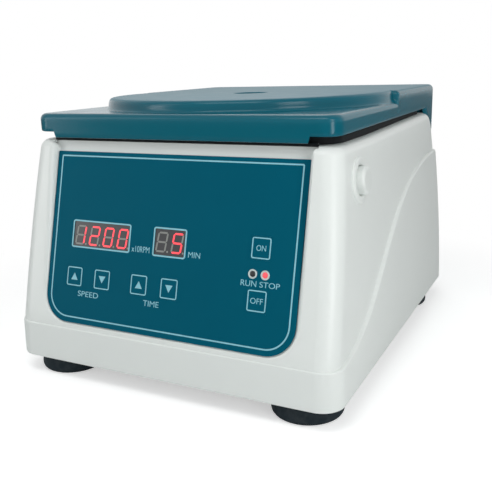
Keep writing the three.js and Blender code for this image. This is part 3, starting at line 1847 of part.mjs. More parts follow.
place("release_bezel", releaseBezel(), buttonGrey, sideFrame);
place("release_button", releaseButton(), buttonGrey, sideFrame);
place("latch_hook", latchHook(), zincSteel);
place("latch_bracket", latchBracket(), sheetSteel);
place("latch_pin", latchPin(), zincSteel);
place("lid_switch", lidSwitch(), blackPlastic);

place("control_panel", controlPanel(), panelTeal, panelFrame);
for (const name of Object.keys(keyPlaces)) {
  place(name, panelKey(name), panelTeal, panelFrame);
}
for (const [name, material] of [
  ["run_lamp", lampDark],
  ["stop_lamp", lampRed],
]) {
  place(name, panelLamp(name), material, panelFrame);
}
for (const name of Object.keys(displayPlaces)) {
  place(name, displayBlock(name, 0, displaySink, displaySink + displayDepth), displayGrey, panelFrame);
}
place("control_board", controlBoard(), boardGreen, panelFrame);

place("power_board", powerBoard(), boardGreen);
place("transformer", transformer(), coilCopper);
place("power_inlet", powerInlet(), blackPlastic, rearFrame);
place("fuse_drawer", fuseDrawer(), blackPlastic, rearFrame);
const rocker = place("power_rocker", powerRocker(), blackPlastic, rearFrame);
rocker.position.set(rockerX, rockerPivotY, 0);
rocker.rotation.x = rockerTilt;

export default centrifuge;
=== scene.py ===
"""Looks of a bench hematocrit centrifuge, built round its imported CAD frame.

Lengths are millimetres in the helpers and metres in Blender. +Z is up and +Y is the rear.
"""
import math

import bpy
from mathutils import Matrix, Vector

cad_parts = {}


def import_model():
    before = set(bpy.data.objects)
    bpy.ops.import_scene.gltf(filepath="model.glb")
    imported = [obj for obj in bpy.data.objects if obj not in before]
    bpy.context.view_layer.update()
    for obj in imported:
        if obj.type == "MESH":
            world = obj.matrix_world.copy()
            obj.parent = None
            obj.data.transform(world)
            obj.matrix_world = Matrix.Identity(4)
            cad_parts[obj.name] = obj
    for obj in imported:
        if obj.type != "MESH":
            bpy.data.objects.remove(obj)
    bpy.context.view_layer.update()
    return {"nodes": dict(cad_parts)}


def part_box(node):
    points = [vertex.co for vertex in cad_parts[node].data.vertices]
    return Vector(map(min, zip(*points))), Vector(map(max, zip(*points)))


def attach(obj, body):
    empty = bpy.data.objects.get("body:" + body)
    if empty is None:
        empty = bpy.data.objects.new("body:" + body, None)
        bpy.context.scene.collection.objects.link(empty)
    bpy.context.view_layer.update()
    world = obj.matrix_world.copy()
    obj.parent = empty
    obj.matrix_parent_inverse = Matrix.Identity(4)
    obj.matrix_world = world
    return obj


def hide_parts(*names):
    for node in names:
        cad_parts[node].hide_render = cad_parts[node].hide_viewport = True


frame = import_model()
MM = 0.001


# Numbers and places
def lerp(low, high, share):
    return low + (high - low) * share


def clamp(share):
    return min(1, max(0, share))


def bezier(points, t):
    """One coordinate of a cubic curve with four control points."""
    a, b, c, d = points
    rest = 1 - t
    return a * rest ** 3 + 3 * b * rest ** 2 * t + 3 * c * rest * t ** 2 + d * t ** 3


def span(node, axis):
    """Lowest and highest place of a CAD node along an axis, to a thousandth of a millimetre."""
    low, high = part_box(node)
    return round(low[axis] / MM, 3), round(high[axis] / MM, 3)


def middle(node, axis):
    return sum(span(node, axis)) / 2


def width(node):
    left, right = span(node, 0)
    return right - left


# Sizes of the case; a height called h is from the case's lower edge
FOOT, DECK = span("housing_shell", 2)
HEIGHT = DECK - FOOT
WALL = 3
AXIS_Y = middle("rotor_disc", 1)
AXIS = Matrix.Translation((0, AXIS_Y, 0))
CASE_CORNER = 14
TOP_FILLET = 6
SKIRT = 2.6
SKIRT_EDGE = 1.2
LOW_HALF = span("housing_shell", 0)[1] - SKIRT
HIGH_HALF = 121.8
BULGE = 2.2
SKIRT_FRONT, SKIRT_REAR = span("housing_shell", 1)
FRONT_KNEE = 30
FRONT_LOW = -162.6
FRONT_HIGH = -132
FRONT_SLOPE = (FRONT_HIGH - FRONT_LOW) / (HEIGHT - FRONT_KNEE)
REAR_LOW = SKIRT_REAR - SKIRT
REAR_HIGH = 139.5
SILL = 149.5
SWEEP_LOW = 27.5
SWEEP_HIGH = 131.5
SWEEP_DEPTHS = (-160, -52, -54, 134)
CHAMFER_Y = 131.4
CHAMFER_SLOPE = 0.9
WELL_LOW = 159.2
BUTTON_H = 138.5
INLET_H = 58


def case_half(h):
    share = h / HEIGHT
    return lerp(LOW_HALF, HIGH_HALF, share) + 4 * BULGE * share * (1 - share)


def case_front(h):
    return FRONT_LOW + FRONT_SLOPE * max(0, h - FRONT_KNEE)


def case_rear(h):
    return lerp(REAR_LOW, REAR_HIGH, h / SILL)


def skirt_front(h):
    return lerp(SKIRT_FRONT, case_front(h) - 0.5, min(1, h / FRONT_KNEE))


def sweep_height(y):
    """Height of the skirt's swept edge at a depth."""
    if y <= SWEEP_DEPTHS[0]:
        return SWEEP_LOW
    if y >= SWEEP_DEPTHS[-1]:
        return SWEEP_HIGH
    low, high = 0.0, 1.0
    for _ in range(30):
        t = (low + high) / 2
        low, high = (t, high) if bezier(SWEEP_DEPTHS, t) < y else (low, t)
    return lerp(SWEEP_LOW, SWEEP_HIGH, bezier((0, 0, 1, 1), low))


def chamfer_y(z):
    """Depth of the chamfer that faces the lid's tail, at a height over the ground."""
    return CHAMFER_Y - CHAMFER_SLOPE * (z - FOOT - SILL)


def rim_drop(y):
    """How far the deck's outer rim lies under the deck: down at the front, a little up at the rear."""
    return 1.7 - 3 * clamp((y + 60) / 170)


# Sizes of the panel; a drop is measured down the panel from its upper edge
TILT = math.radians(15.4)
PANEL_HALF = span("control_panel", 0)[1]
PANEL_TOP_Y = -128.2
PANEL_TOP = span("control_panel", 2)[1] - FOOT
PANEL_LENGTH = 127.7
DISPLAY_DROP = 61.1
DISPLAY_HEIGHT = 19
PAD_WIDTH = 15.5
PAD_HEIGHT = 15.8
PAD_CORNER = 1.5
KEY_DROPS = {"speed_up": 93, "speed_down": 93, "time_up": 93, "time_down": 93, "start": 58.5, "stop": 93}
LAMP_DROP = 75.7
DISPLAYS = {name: (middle(name + "_display", 0), width(name + "_display")) for name in ("speed", "time")}
KEYS = {name: (middle("key_" + name, 0), drop) for name, drop in KEY_DROPS.items()}
LAMPS = {name: middle(name + "_lamp", 0) for name in ("run", "stop")}

# Frames of reference on the case's faces: x to the right, y to the rear, z up the face
PANEL = Matrix.Translation((0, PANEL_TOP_Y, FOOT + PANEL_TOP)) @ Matrix.Rotation(-TILT, 4, "X")
REAR_LEAN = math.atan((REAR_LOW - REAR_HIGH) / SILL)
REAR_PLACE = (0, case_rear(INLET_H) + SKIRT, FOOT + INLET_H)
REAR = Matrix.Translation(REAR_PLACE) @ Matrix.Rotation(REAR_LEAN, 4, "X")

# On the side, z points out of the case at the release button and y to the rear
SIDE_LEAN = math.atan((LOW_HALF - HIGH_HALF - 4 * BULGE * (1 - 2 * BUTTON_H / HEIGHT)) / HEIGHT)
SIDE_PLACE = (case_half(BUTTON_H), middle("release_button", 1), FOOT + BUTTON_H)
SIDE = Matrix.Translation(SIDE_PLACE) @ Matrix.Rotation(math.pi / 2 - SIDE_LEAN, 4, "Y")

# Sizes of the lid
LID_HALF = span("lid_shell", 0)[1]
LID_FRONT, LID_REAR = span("lid_shell", 1)
LID_TOP = span("lid_shell", 2)[1]
LID_CORNER = 11.9
LID_FILLET = 4.5
LID_SKIRT = span("deck_gasket", 2)[1]
LID_LIP = 180.4
LID_TAIL = 164
LID_TAIL_GAP = 0.67
LID_BAND_FRONT = 13
BAND_STEP = 117
CEILING_HIGH = LID_TOP - WALL


# Materials
def rgb(red, green, blue):
    """Screen colour levels from 0 to 255, as a linear colour."""
    def linear(level):
        share = level / 255
        return share / 12.92 if share <= 0.04045 else ((share + 0.055) / 1.055) ** 2.4

    return (linear(red), linear(green), linear(blue), 1)


def scaled(color, share):
    return tuple(min(1, channel * share) for channel in color[:3]) + (1,)


COAT_ROUGHNESS = 0.06
LEAST_ROUGHNESS = 0.02
BUMP_DISTANCE = 0.4 * MM
DUST = rgb(120, 122, 120)
DUST_GRAIN = 160
DUST_SPAN = (0.45, 0.8)
TURNING_WOBBLE = 1.5
TURNING_ANISOTROPY = 0.5
GLOW_SHARES = (0.92, 1.05)


class Graph:
    """Adds and joins the shader nodes of a material or a world."""

    def __init__(self, tree):
        self.tree = tree

    def add(self, kind, **values):
        """A new node; an underscore in a value's name stands for a space in its socket's name."""
        node = self.tree.nodes.new(kind)
        for name, value in values.items():
            node.inputs[name.replace("_", " ")].default_value = value
        return node

    def join(self, source, node, socket):
        self.tree.links.new(source, node.inputs[socket])

    def place(self):
        return self.add("ShaderNodeTexCoord").outputs["Object"]

    def noise(self, scale, detail):
        texture = self.add("ShaderNodeTexNoise", Scale=scale, Detail=detail)
        self.join(self.place(), texture, "Vector")
        return texture.outputs["Fac"]

    def remap(self, source, **values):
        node = self.add("ShaderNodeMapRange", **values)
        self.join(source, node, "Value")
        return node.outputs["Result"]

    def blend(self, low, high, factor):
        """Mix of two colours, of which the first may also be a socket."""
        mix = self.add("ShaderNodeMix")
        mix.data_type = "RGBA"
        mix.inputs["B"].default_value = high
        if isinstance(low, tuple):
            mix.inputs["A"].default_value = low
        else:
            self.join(low, mix, "A")
        self.join(factor, mix, "Factor")
        return mix.outputs["Result"]

    def compute(self, operation, first, second):
        node = self.add("ShaderNodeMath")
        node.operation = operation
        self.join(first, node, 0)
        self.join(second, node, 1)
        return node.outputs["Value"]

    def mix_shaders(self, factor, first, second):
        mix = self.add("ShaderNodeMixShader")
        for i, source in enumerate((factor, first, second)):
            self.join(source, mix, i)
        return mix.outputs[0]

    def duller(self, roughness, low, high, rise):
        """Roughness that rises between two heights, for a satin top on a glossy form."""
        height = self.add("ShaderNodeSeparateXYZ")
        self.join(self.place(), height, "Vector")
        extra = self.remap(height.outputs["Z"], From_Min=low * MM, From_Max=high * MM, To_Max=rise)
        return self.compute("ADD", roughness, extra)

    def turning_marks(self, scale):
        """Fine rings round the rotor's axis."""
        rings = self.add("ShaderNodeTexWave", Scale=scale, Distortion=TURNING_WOBBLE, Detail=2)
        rings.wave_type = "RINGS"
        rings.rings_direction = "Z"
        shift = self.add("ShaderNodeMapping", Location=(0, -AXIS_Y * MM, 0))
        self.join(self.place(), shift, "Vector")
        self.join(shift.outputs["Vector"], rings, "Vector")
        return rings.outputs["Fac"]


def finish(name, color, rough, grain=(900, 0.1), mottle=(30, 0.04), spread=0.06, metal=0, coat=0,
           specular=0.5, glow=0, spun=False, dust=0, satin=None):
    """Mottled colour, uneven roughness and a fine surface grain.

    Grain is its scale and strength, mottle its scale and share, and satin two heights and the
    roughness that is added from the lower one up to the upper one.
    """
    material = bpy.data.materials.new(name)
    material.use_nodes = True
    material.diffuse_color = color
    graph = Graph(material.node_tree)
    shader = material.node_tree.nodes["Principled BSDF"]
    shader.inputs["Metallic"].default_value = metal
    shader.inputs["Specular IOR Level"].default_value = specular
    shader.inputs["Coat Weight"].default_value = coat
    shader.inputs["Coat Roughness"].default_value = COAT_ROUGHNESS
    patches = graph.noise(mottle[0], 3)
    tone = graph.blend(scaled(color, 1 - mottle[1]), scaled(color, 1 + mottle[1]), patches)
    if dust:
        low, high = DUST_SPAN
        dusty = graph.remap(graph.noise(DUST_GRAIN, 6), From_Min=low, From_Max=high, To_Max=dust)
        tone = graph.blend(tone, DUST, dusty)
    graph.join(tone, shader, "Base Color")
    roughness = graph.remap(graph.noise(mottle[0] * 3, 5), To_Min=max(LEAST_ROUGHNESS, rough - spread),
                            To_Max=min(1, rough + spread))
    if satin:
        roughness = graph.duller(roughness, *satin)
    graph.join(roughness, shader, "Roughness")
    bump = graph.add("ShaderNodeBump", Strength=grain[1], Distance=BUMP_DISTANCE)
    if spun:
        shader.inputs["Anisotropic"].default_value = TURNING_ANISOTROPY
    relief = graph.turning_marks(grain[0]) if spun else graph.noise(grain[0], 4)
    graph.join(relief, bump, "Height")
    graph.join(bump.outputs["Normal"], shader, "Normal")
    if glow:
        dim, bright = GLOW_SHARES
        graph.join(graph.blend(scaled(color, dim), scaled(color, bright), patches), shader, "Emission Color")
        shader.inputs["Emission Strength"].default_value = glow
    return material


CASE = finish("case_plastic", rgb(229, 234, 231), 0.38, grain=(1400, 0.08), mottle=(14, 0.012))
TEAL = finish("lid_plastic", rgb(0, 93, 110), 0.2, grain=(700, 0.03), mottle=(18, 0.03), specular=0.2,
              spread=0.04, satin=(LID_TOP - 1.9, LID_TOP - 0.4, 0.2))
FILM = finish("panel_film", rgb(0, 86, 107), 0.5, grain=(2600, 0.12), mottle=(25, 0.03), specular=0.04)
KEYFILM = finish("key_film", rgb(0, 87, 108), 0.5, grain=(2600, 0.12), mottle=(25, 0.03), specular=0.04)
PRINT = finish("pale_print", rgb(134, 196, 210), 0.5, grain=(3000, 0.05), mottle=(60, 0.03))
RUBBER = finish("foot_rubber", rgb(33, 43, 49), 0.72, grain=(1100, 0.5), mottle=(60, 0.15), specular=0.15,
                dust=0.12)
SEAL = finish("gasket_rubber", rgb(20, 24, 26), 0.7, grain=(1500, 0.4), mottle=(80, 0.1), specular=0.15)
BLACK = finish("black_plastic", rgb(26, 28, 30), 0.42, grain=(1500, 0.2), mottle=(50, 0.08))
PALE = finish("button_plastic", rgb(224, 229, 226), 0.4, grain=(1500, 0.1), mottle=(30, 0.02))
STEEL = finish("zinc_steel", rgb(176, 180, 184), 0.36, grain=(420, 0.2), mottle=(90, 0.12), metal=1)
SHEET = finish("sheet_steel", rgb(190, 193, 195), 0.4, grain=(700, 0.15), mottle=(45, 0.07), metal=1)
SPUN = finish("spun_aluminium", rgb(205, 208, 210), 0.3, grain=(180, 0.12), mottle=(40, 0.05), metal=1,
              spun=True)
LINER = finish("liner_plastic", rgb(196, 201, 200), 0.45, grain=(1400, 0.12), mottle=(20, 0.02))
SMOKE = finish("smoked_window", rgb(14, 40, 48), 0.07, grain=(300, 0.01), mottle=(20, 0.05), coat=0.5)
GLASS = finish("display_face", rgb(48, 49, 52), 0.3, grain=(900, 0.03), mottle=(30, 0.05))
DULL = finish("segment_dull", rgb(132, 134, 130), 0.5, grain=(900, 0.05), mottle=(60, 0.05))
LIT = finish("segment_lit", rgb(255, 72, 82), 0.4, grain=(900, 0.02), mottle=(120, 0.02), glow=0.75)
HOLDER = finish("lamp_holder", rgb(196, 208, 206), 0.3, grain=(900, 0.05), mottle=(90, 0.03))
LENS_DARK = finish("lens_dark", rgb(18, 20, 22), 0.15, grain=(500, 0.02), mottle=(200, 0.1), coat=0.1)
LENS_LIT = finish("lens_lit", rgb(232, 84, 92), 0.25, grain=(500, 0.02), mottle=(200, 0.05), glow=0.45)
BOARD = finish("board_green", rgb(30, 92, 60), 0.5, grain=(900, 0.15), mottle=(300, 0.2))
COPPER = finish("coil_copper", rgb(178, 112, 62), 0.4, grain=(1800, 0.5), mottle=(200, 0.15), metal=0.7)
DAMPER = finish("motor_damper", rgb(58, 60, 60), 0.75, grain=(1200, 0.4), mottle=(60, 0.1))

# Materials of the CAD nodes that stay, by how their names start
FINISHES = [
    (BLACK, ("base_plate", "motor_can", "lid_switch", "power_inlet", "fuse_drawer", "power_rocker")),
    (STEEL, ("foot_screw", "hinge_pin", "upper_bearing", "lower_bearing", "motor_shaft")),
    (STEEL, ("latch_striker", "latch_hook", "latch_pin")),
    (SHEET, ("hinge_arm", "hinge_bracket", "motor_bracket", "motor_cap", "latch_bracket")),
    (LINER, ("lid_liner",)),
    (DAMPER, ("motor_damper",)),
    (SEAL, ("shaft_gaiter",)),
    (SPUN, ("rotor_disc",)),
    (GLASS, ("speed_display", "time_display")),
    (BOARD, ("control_board", "power_board")),
    (COPPER, ("transformer",)),
]
for name, node in frame["nodes"].items():
    for material, starts in FINISHES:
        if name.startswith(starts):
            for slot in node.material_slots:
                slot.material = material


# Outlines
def arc(x, z, radius, start, end, steps):
    """Points along a circle, from one angle to another in degrees."""
    turns = [math.radians(lerp(start, end, i / steps)) for i in range(steps + 1)]
    return [(x + radius * math.cos(turn), z + radius * math.sin(turn)) for turn in turns]


def circle(radius, x=0, z=0, steps=48):
    return arc(x, z, radius, 0, 360, steps)[:-1]


def rounded(wide, high, radius, x=0, z=0, steps=6, top_radius=None):
    """Outline of a rectangle with round corners, anticlockwise in (x, z)."""
    upper = radius if top_radius is None else top_radius
    outline = []
    for right, top, size, start in ((1, -1, radius, -90), (1, 1, upper, 0), (-1, 1, upper, 90),
                                    (-1, -1, radius, 180)):
        cx, cz = x + right * (wide / 2 - size), z + top * (high / 2 - size)
        outline += arc(cx, cz, size, start, start + 90, steps)
    return outline


def shrunk(outline, inset):
    """The outline drawn in by a distance, for outlines that run anticlockwise."""
    result = []
    for i, (x, z) in enumerate(outline):
        before = outline[i - 1]
        after = outline[(i + 1) % len(outline)]
        normals = []
        for (ax, az), (bx, bz) in ((before, (x, z)), ((x, z), after)):
            length = math.hypot(bx - ax, bz - az)
            normals.append(((az - bz) / length, (bx - ax) / length))
        nx, nz = normals[0][0] + normals[1][0], normals[0][1] + normals[1][1]
        size = nx * nx + nz * nz
        result.append((x + 2 * inset * nx / size, z + 2 * inset * nz / size))
    return result


def stations(front, side, rear, corner):
    """Places round a rounded outline, anticlockwise from the front's left end: (edge, share)."""
    counts = {0: front, 2: side, 4: rear, 6: side}
    places = []
    for edge in range(8):
        if edge in counts:
            places += [(edge, i / counts[edge]) for i in range(1, counts[edge])]
        else:
            places += [(edge, i / corner) for i in range(corner + 1)]
    return places


def outline_point(place, half, front, rear, radius):
    """The point at a place of a rounded outline with a given half width, front and rear."""
    edge, share = place
    x, low, high = half - radius, front + radius, rear - radius
    straight = {
        0: (lerp(-x, x, share), front),
        2: (half, lerp(low, high, share)),
        4: (lerp(x, -x, share), rear),
        6: (-half, lerp(high, low, share)),
    }
    if edge in straight:
        return straight[edge]
    corners = {1: (x, low, -90), 3: (x, high, 0), 5: (-x, high, 90), 7: (-x, low, 180)}
    cx, cy, start = corners[edge]
    angle = math.radians(start + 90 * share)
    return cx + radius * math.cos(angle), cy + radius * math.sin(angle)


# Solids, each as its points and its faces
def skin(rings, closed=False):
    """Faces through rings of equally many points; open ends get a flat cap."""
    count = len(rings[0])
    points = [point for ring in rings for point in ring]
    faces = []
    for i in range(len(rings) if closed else len(rings) - 1):
        low = i * count
        high = ((i + 1) % len(rings)) * count
        for j in range(count):
            k = (j + 1) % count
            faces.append((low + j, low + k, high + k, high + j))
    if not closed:
        faces.append(tuple(reversed(range(count))))
        faces.append(tuple(range((len(rings) - 1) * count, len(rings) * count)))
    return points, faces


def merged(parts):
    points, faces = [], []
    for some_points, some_faces in parts:
        start = len(points)
        points.extend(some_points)
        faces.extend(tuple(start + i for i in face) for face in some_faces)
    return points, faces


def placed(part, matrix):
    points, faces = part
    return [tuple(matrix @ Vector(point)) for point in points], faces


def lathe(profile, steps=96, closed=False):
    """Turns a profile of (radius, height) about +Z."""
    rings = [[(x, y, height) for x, y in circle(radius, steps=steps)] for radius, height in profile]
    return skin(rings, closed)


def prism(outline, low, high):
    """Outline in (x, z), drawn out along y from low to high."""
    return skin([[(x, high, z) for x, z in outline], [(x, low, z) for x, z in outline]])


def slab(outline, x0, x1):
    """Outline in (y, z), anticlockwise seen from the right, drawn from x0 to x1."""
    return skin([[(x0, y, z) for y, z in outline], [(x1, y, z) for y, z in outline]])


def box(x0, x1, y0, y1, z0, z1):
    return prism([(x0, z0), (x1, z0), (x1, z1), (x0, z1)], y0, y1)


def band(outer, inner, low, high):
    """Flat frame between two outlines with equally many points, in (x, z)."""
    loops = [(outer, low), (outer, high), (inner, high), (inner, low)]
    return skin([[(x, y, z) for x, z in outline] for outline, y in loops], closed=True)


FILM_DEPTH = 1


def sheet(outline, edge):
    """A thin plate behind its outline's plane, with a softened front edge."""
    return skin([[(x, FILM_DEPTH, z) for x, z in outline], [(x, edge, z) for x, z in outline],
                 [(x, 0, z) for x, z in shrunk(outline, edge)]])


# Pieces in Blender
def add_object(name, data):
    item = bpy.data.objects.new(name, data)
    bpy.context.scene.collection.objects.link(item)
    return item


def smooth(mesh, degrees=35):
    for polygon in mesh.polygons:
        polygon.use_smooth = True
    mesh.set_sharp_from_angle(angle=math.radians(degrees))


def solid(name, part, material=None, degrees=35):
    points, faces = part
    mesh = bpy.data.meshes.new(name)
    mesh.from_pydata([(x * MM, y * MM, z * MM) for x, y, z in points], [], faces)
    mesh.update()
    piece = add_object(name, mesh)
    if material:
        mesh.materials.append(material)
    smooth(mesh, degrees)
    return piece


def turned(name, profile, material, matrix=AXIS, steps=96, closed=False):
    return solid(name, placed(lathe(profile, steps, closed), matrix), material)


def settle(piece, body, replaced=()):
    """Makes a piece ride on a body and hides the CAD nodes that it stands for."""
    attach(piece, body)
    if replaced:
        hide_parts(*replaced)


def carve(piece, cutters):
    """Takes closed solids away from a piece."""
    tools = [solid("cutter", part) for part in cutters]
    for tool in tools:
        change = piece.modifiers.new("cut", "BOOLEAN")
        change.operation = "DIFFERENCE"
        change.solver = "MANIFOLD"
        change.object = tool
    mesh = bpy.data.meshes.new_from_object(piece.evaluated_get(bpy.context.evaluated_depsgraph_get()))
    old = piece.data
    material = old.materials[0]
    piece.modifiers.clear()
    piece.data = mesh
    bpy.data.meshes.remove(old)
    for tool in tools:
        bpy.data.objects.remove(tool)
    mesh.materials.clear()
    mesh.materials.append(material)
    smooth(mesh)
    return piece


def shade(piece):
    """Keeps the shading of broad faces flat beside their rounded edges."""
    change = piece.modifiers.new("shade", "WEIGHTED_NORMAL")
    change.keep_sharp = True


# Camera, fitted to the photograph
CAMERA_PLACE = (256.595, -527.177, 228.540)
CAMERA_AZIMUTH = math.radians(26.8896)
CAMERA_ELEVATION = math.radians(14.8685)
CAMERA_ROLL = math.radians(-1.7099)
SENSOR_WIDTH = 36
FOCAL_LENGTH = 49.73


def look():
    level = math.cos(CAMERA_ELEVATION)
    ahead = Vector((-math.sin(CAMERA_AZIMUTH) * level, math.cos(CAMERA_AZIMUTH) * level,
                    -math.sin(CAMERA_ELEVATION)))
    flat = Vector((math.cos(CAMERA_AZIMUTH), math.sin(CAMERA_AZIMUTH), 0))
    upright = flat.cross(ahead)
    right = math.cos(CAMERA_ROLL) * flat + math.sin(CAMERA_ROLL) * upright
    up = math.cos(CAMERA_ROLL) * upright - math.sin(CAMERA_ROLL) * flat
    data = bpy.data.cameras.new("camera")
    data.sensor_width = SENSOR_WIDTH
    data.lens = FOCAL_LENGTH
    camera = add_object("camera", data)
    turn = Matrix((right, up, -ahead)).transposed().to_4x4()
    camera.matrix_world = Matrix.Translation(Vector(CAMERA_PLACE) * MM) @ turn
    bpy.context.scene.camera = camera


look()


# Case
def case_point(place, h, inset=0):
    return outline_point(place, case_half(h) - inset, case_front(h) + inset, case_rear(h) - inset,
                         CASE_CORNER - inset)


def skirt_point(place, h, inset=0):
    return outline_point(place, case_half(h) + SKIRT - inset, skirt_front(h) + inset,
                         case_rear(h) + SKIRT - inset, CASE_CORNER + SKIRT - inset)


def skirt_column(place, edge):
    """The skirt's surface at one place, from the case's lower edge over the swept edge."""
    column = [skirt_point(place, h, inset) + (h,) for h, inset in ((0, 1.2), (0.35, 0.35), (1.2, 0))]
    for i in range(1, 9):
        h = lerp(1.2, edge - SKIRT_EDGE, i / 8)
        column.append(skirt_point(place, h) + (h,))
    for drop in (1.2, 0.8, 0.48, 0.24, 0.08, 0):
        h = edge - drop
        share = math.sqrt(1 - (1 - drop / SKIRT_EDGE) ** 2)
        low, high = case_point(place, h), skirt_point(place, h)
        column.append((lerp(low[0], high[0], share), lerp(low[1], high[1], share), h))
    return column


def case_column(place):
    """The case's surface from its lower edge to its top at one place of the outline."""
    edge = SWEEP_LOW
    for _ in range(8):
        edge = sweep_height(case_point(place, edge)[1])
    column = skirt_column(place, edge)
    top = HEIGHT - rim_drop(case_point(place, HEIGHT)[1])
    for i in range(1, 27):
        h = lerp(edge, top - TOP_FILLET, i / 26)
        column.append(case_point(place, h) + (h,))
    for i in range(1, 8):
        angle = math.radians(90 * i / 7)
        h = top - TOP_FILLET * (1 - math.sin(angle))
        column.append(case_point(place, h, TOP_FILLET * (1 - math.cos(angle))) + (h,))
    for inset, h in ((0, top + 0.01), (0.05, HEIGHT + 0.005)):
        x, y = outline_point(place, 112.5 - inset, -119.5 + inset, case_rear(HEIGHT) - 7 - inset, 13)
        column.append((x, y, h))
    return [(x, y, h + FOOT) for x, y, h in column]


RECESS_FLOOR = 1.3
RECESS_HALF = 102.5
RECESS_CORNER = 21.5
RECESS_CORNER_Z = -106.7
RECESS_MOUTH_Z = 2.5
RECESS_FLARE = 4
RECESS_TURNS = (0, 15, 30, 42, 54, 64, 73, 80)
OVERRUN = 20
HOLLOW_STEP = 142.2
WELL_HALF = 121.2
DECK_HOLE = 105.2
LATCH_SLOT = (99.5, 107.5, -108.5, -89.5)
BUTTON_HOLE = 12.9
SOCKET_WIDTH = 76.6
SOCKET_HEIGHT = 30.6
VENTS = 6
VENT_WIDTH = 46
VENT_HEIGHT = 3.2
VENT_PITCH = 8
VENT_LOW = 99.6


def recess_depth(z):
    """Depth of the recess square to the panel, at a height on the panel."""
    ahead = PANEL_TOP_Y + z * math.sin(TILT) - case_front(PANEL_TOP + z * math.cos(TILT))
    return RECESS_FLOOR + ahead / (math.cos(TILT) + FRONT_SLOPE * math.sin(TILT))


def recess_outline():
    """The recess's outline on the panel, with the way in which each of its points flares out."""
    corner_x = RECESS_HALF - RECESS_CORNER
    mouth_x = RECESS_HALF + RECESS_FLARE
    right = arc(corner_x, RECESS_CORNER_Z, RECESS_CORNER, -90, 0, 16)
    left = arc(-corner_x, RECESS_CORNER_Z, RECESS_CORNER, 180, 270, 16)
    rise = [(RECESS_HALF, z) for z in range(-100, 1, 20)]
    rise += arc(mouth_x, RECESS_MOUTH_Z, RECESS_FLARE, 180, 90, 6)
    rise += [(mouth_x + 0.1, 12), (mouth_x + 0.2, 40)]
    outline = right + rise + [(-x, z) for x, z in reversed(rise)] + left
    normals = arc(0, 0, 1, -90, 0, 16) + [(1, 0)] * len(rise) + [(-1, 0)] * len(rise)
    normals += arc(0, 0, 1, 180, 270, 16)
    return outline, normals


def recess_cutter():
    """The sunken field of the control panel: its wall flares out into a soft round edge."""
    outline, normals = recess_outline()
    rings = []
    for turn in map(math.radians, RECESS_TURNS):
        ring = []
        for (x, z), (nx, nz) in zip(outline, normals):
            depth = recess_depth(z)
            out = min(RECESS_FLARE, 1.2 * depth + 0.6) * (1 - math.cos(turn))
            ring.append((x + nx * out, RECESS_FLOOR - depth * math.sin(turn), z + nz * out))
        rings.append(ring)
    mouth = zip(rings[-1], normals)
    rings.append([(x + 0.02 * nx, -OVERRUN, z + 0.02 * nz) for (x, _, z), (nx, nz) in mouth])
    return placed(skin(rings), PANEL)


def case_hollow():
    """The room inside the case, which keeps clear of the panel and of the chamfer."""
    rings = []
    for level in (-2, 32, 60, 90, 120, HOLLOW_STEP, HOLLOW_STEP + 0.01, 162):
        front = PANEL_TOP_Y - (PANEL_TOP - level) * math.tan(TILT) + (RECESS_FLOOR + WALL) / math.cos(TILT)
        rear = chamfer_y(level + FOOT) - 4 if level > HOLLOW_STEP else SKIRT_REAR
        inner = [case_point(place, level, WALL) for place in stations(8, 8, 8, 4)]
        rings.append([(x, min(max(y, front), rear), level + FOOT) for x, y in inner])
    return skin(rings)


def panel_holes(display_gap, pad_gap, lamp_radius, near, far, pad_far):
    """Closed solids for the openings of the displays, the keys' pads and the lamps."""
    holes = []
    for x, wide in DISPLAYS.values():
        outline = rounded(wide + display_gap, DISPLAY_HEIGHT + display_gap, 0.3, x, -DISPLAY_DROP, 2)
        holes.append(prism(outline, near, far))
    for x, drop in KEYS.values():
        outline = rounded(PAD_WIDTH + pad_gap, PAD_HEIGHT + pad_gap, PAD_CORNER, x, -drop)
        holes.append(prism(outline, near, pad_far))
    for x in LAMPS.values():
        holes.append(prism(circle(lamp_radius, x, -LAMP_DROP, 32), near, far))
    return [placed(hole, PANEL) for hole in holes]


def case_cutters():
    """Everything that is taken out of the case's moulding."""
    sill, top, beyond = FOOT + SILL, DECK + 2 * OVERRUN, SKIRT_REAR + OVERRUN
    half = LOW_HALF + OVERRUN
    low, high = DECK - OVERRUN / 2, DECK + OVERRUN / 2
    tail = [(CHAMFER_Y, sill), (beyond, sill), (beyond, top), (chamfer_y(top), top)]
    well = [(chamfer_y(WELL_LOW), WELL_LOW), (beyond, WELL_LOW), (beyond, top), (chamfer_y(top), top)]
    socket = rounded(SOCKET_WIDTH, SOCKET_HEIGHT, 1, middle("power_inlet", 0))
    vents = [rounded(VENT_WIDTH, VENT_HEIGHT, VENT_HEIGHT / 2, 0, VENT_LOW + VENT_PITCH * i)
             for i in range(VENTS)]
    cutters = [
        case_hollow(),
        recess_cutter(),
        slab(tail, -half, half),
        slab(well, -WELL_HALF, WELL_HALF),
        placed(lathe([(DECK_HOLE, low), (DECK_HOLE, high)], 144), AXIS),
        box(*LATCH_SLOT, low, high),
        placed(lathe([(BUTTON_HOLE, -12), (BUTTON_HOLE, 6)], 64), SIDE),
        placed(prism(socket, -8, 3), REAR),
    ]
    cutters += [prism(vent, 125, 175) for vent in vents]
    cutters += panel_holes(0.6, 0.2, 2.9, 0.5, 9, 2.2)
    cutters += [placed(prism(circle(3.6, x, -drop, 24), 0.5, 9), PANEL) for x, drop in KEYS.values()]
    return cutters


columns = [case_column(place) for place in stations(12, 60, 16, 12)]
case = solid("case_moulding", skin([list(ring) for ring in zip(*columns)]), CASE)
shade(carve(case, case_cutters()))
settle(case, "case", ["housing_shell"])

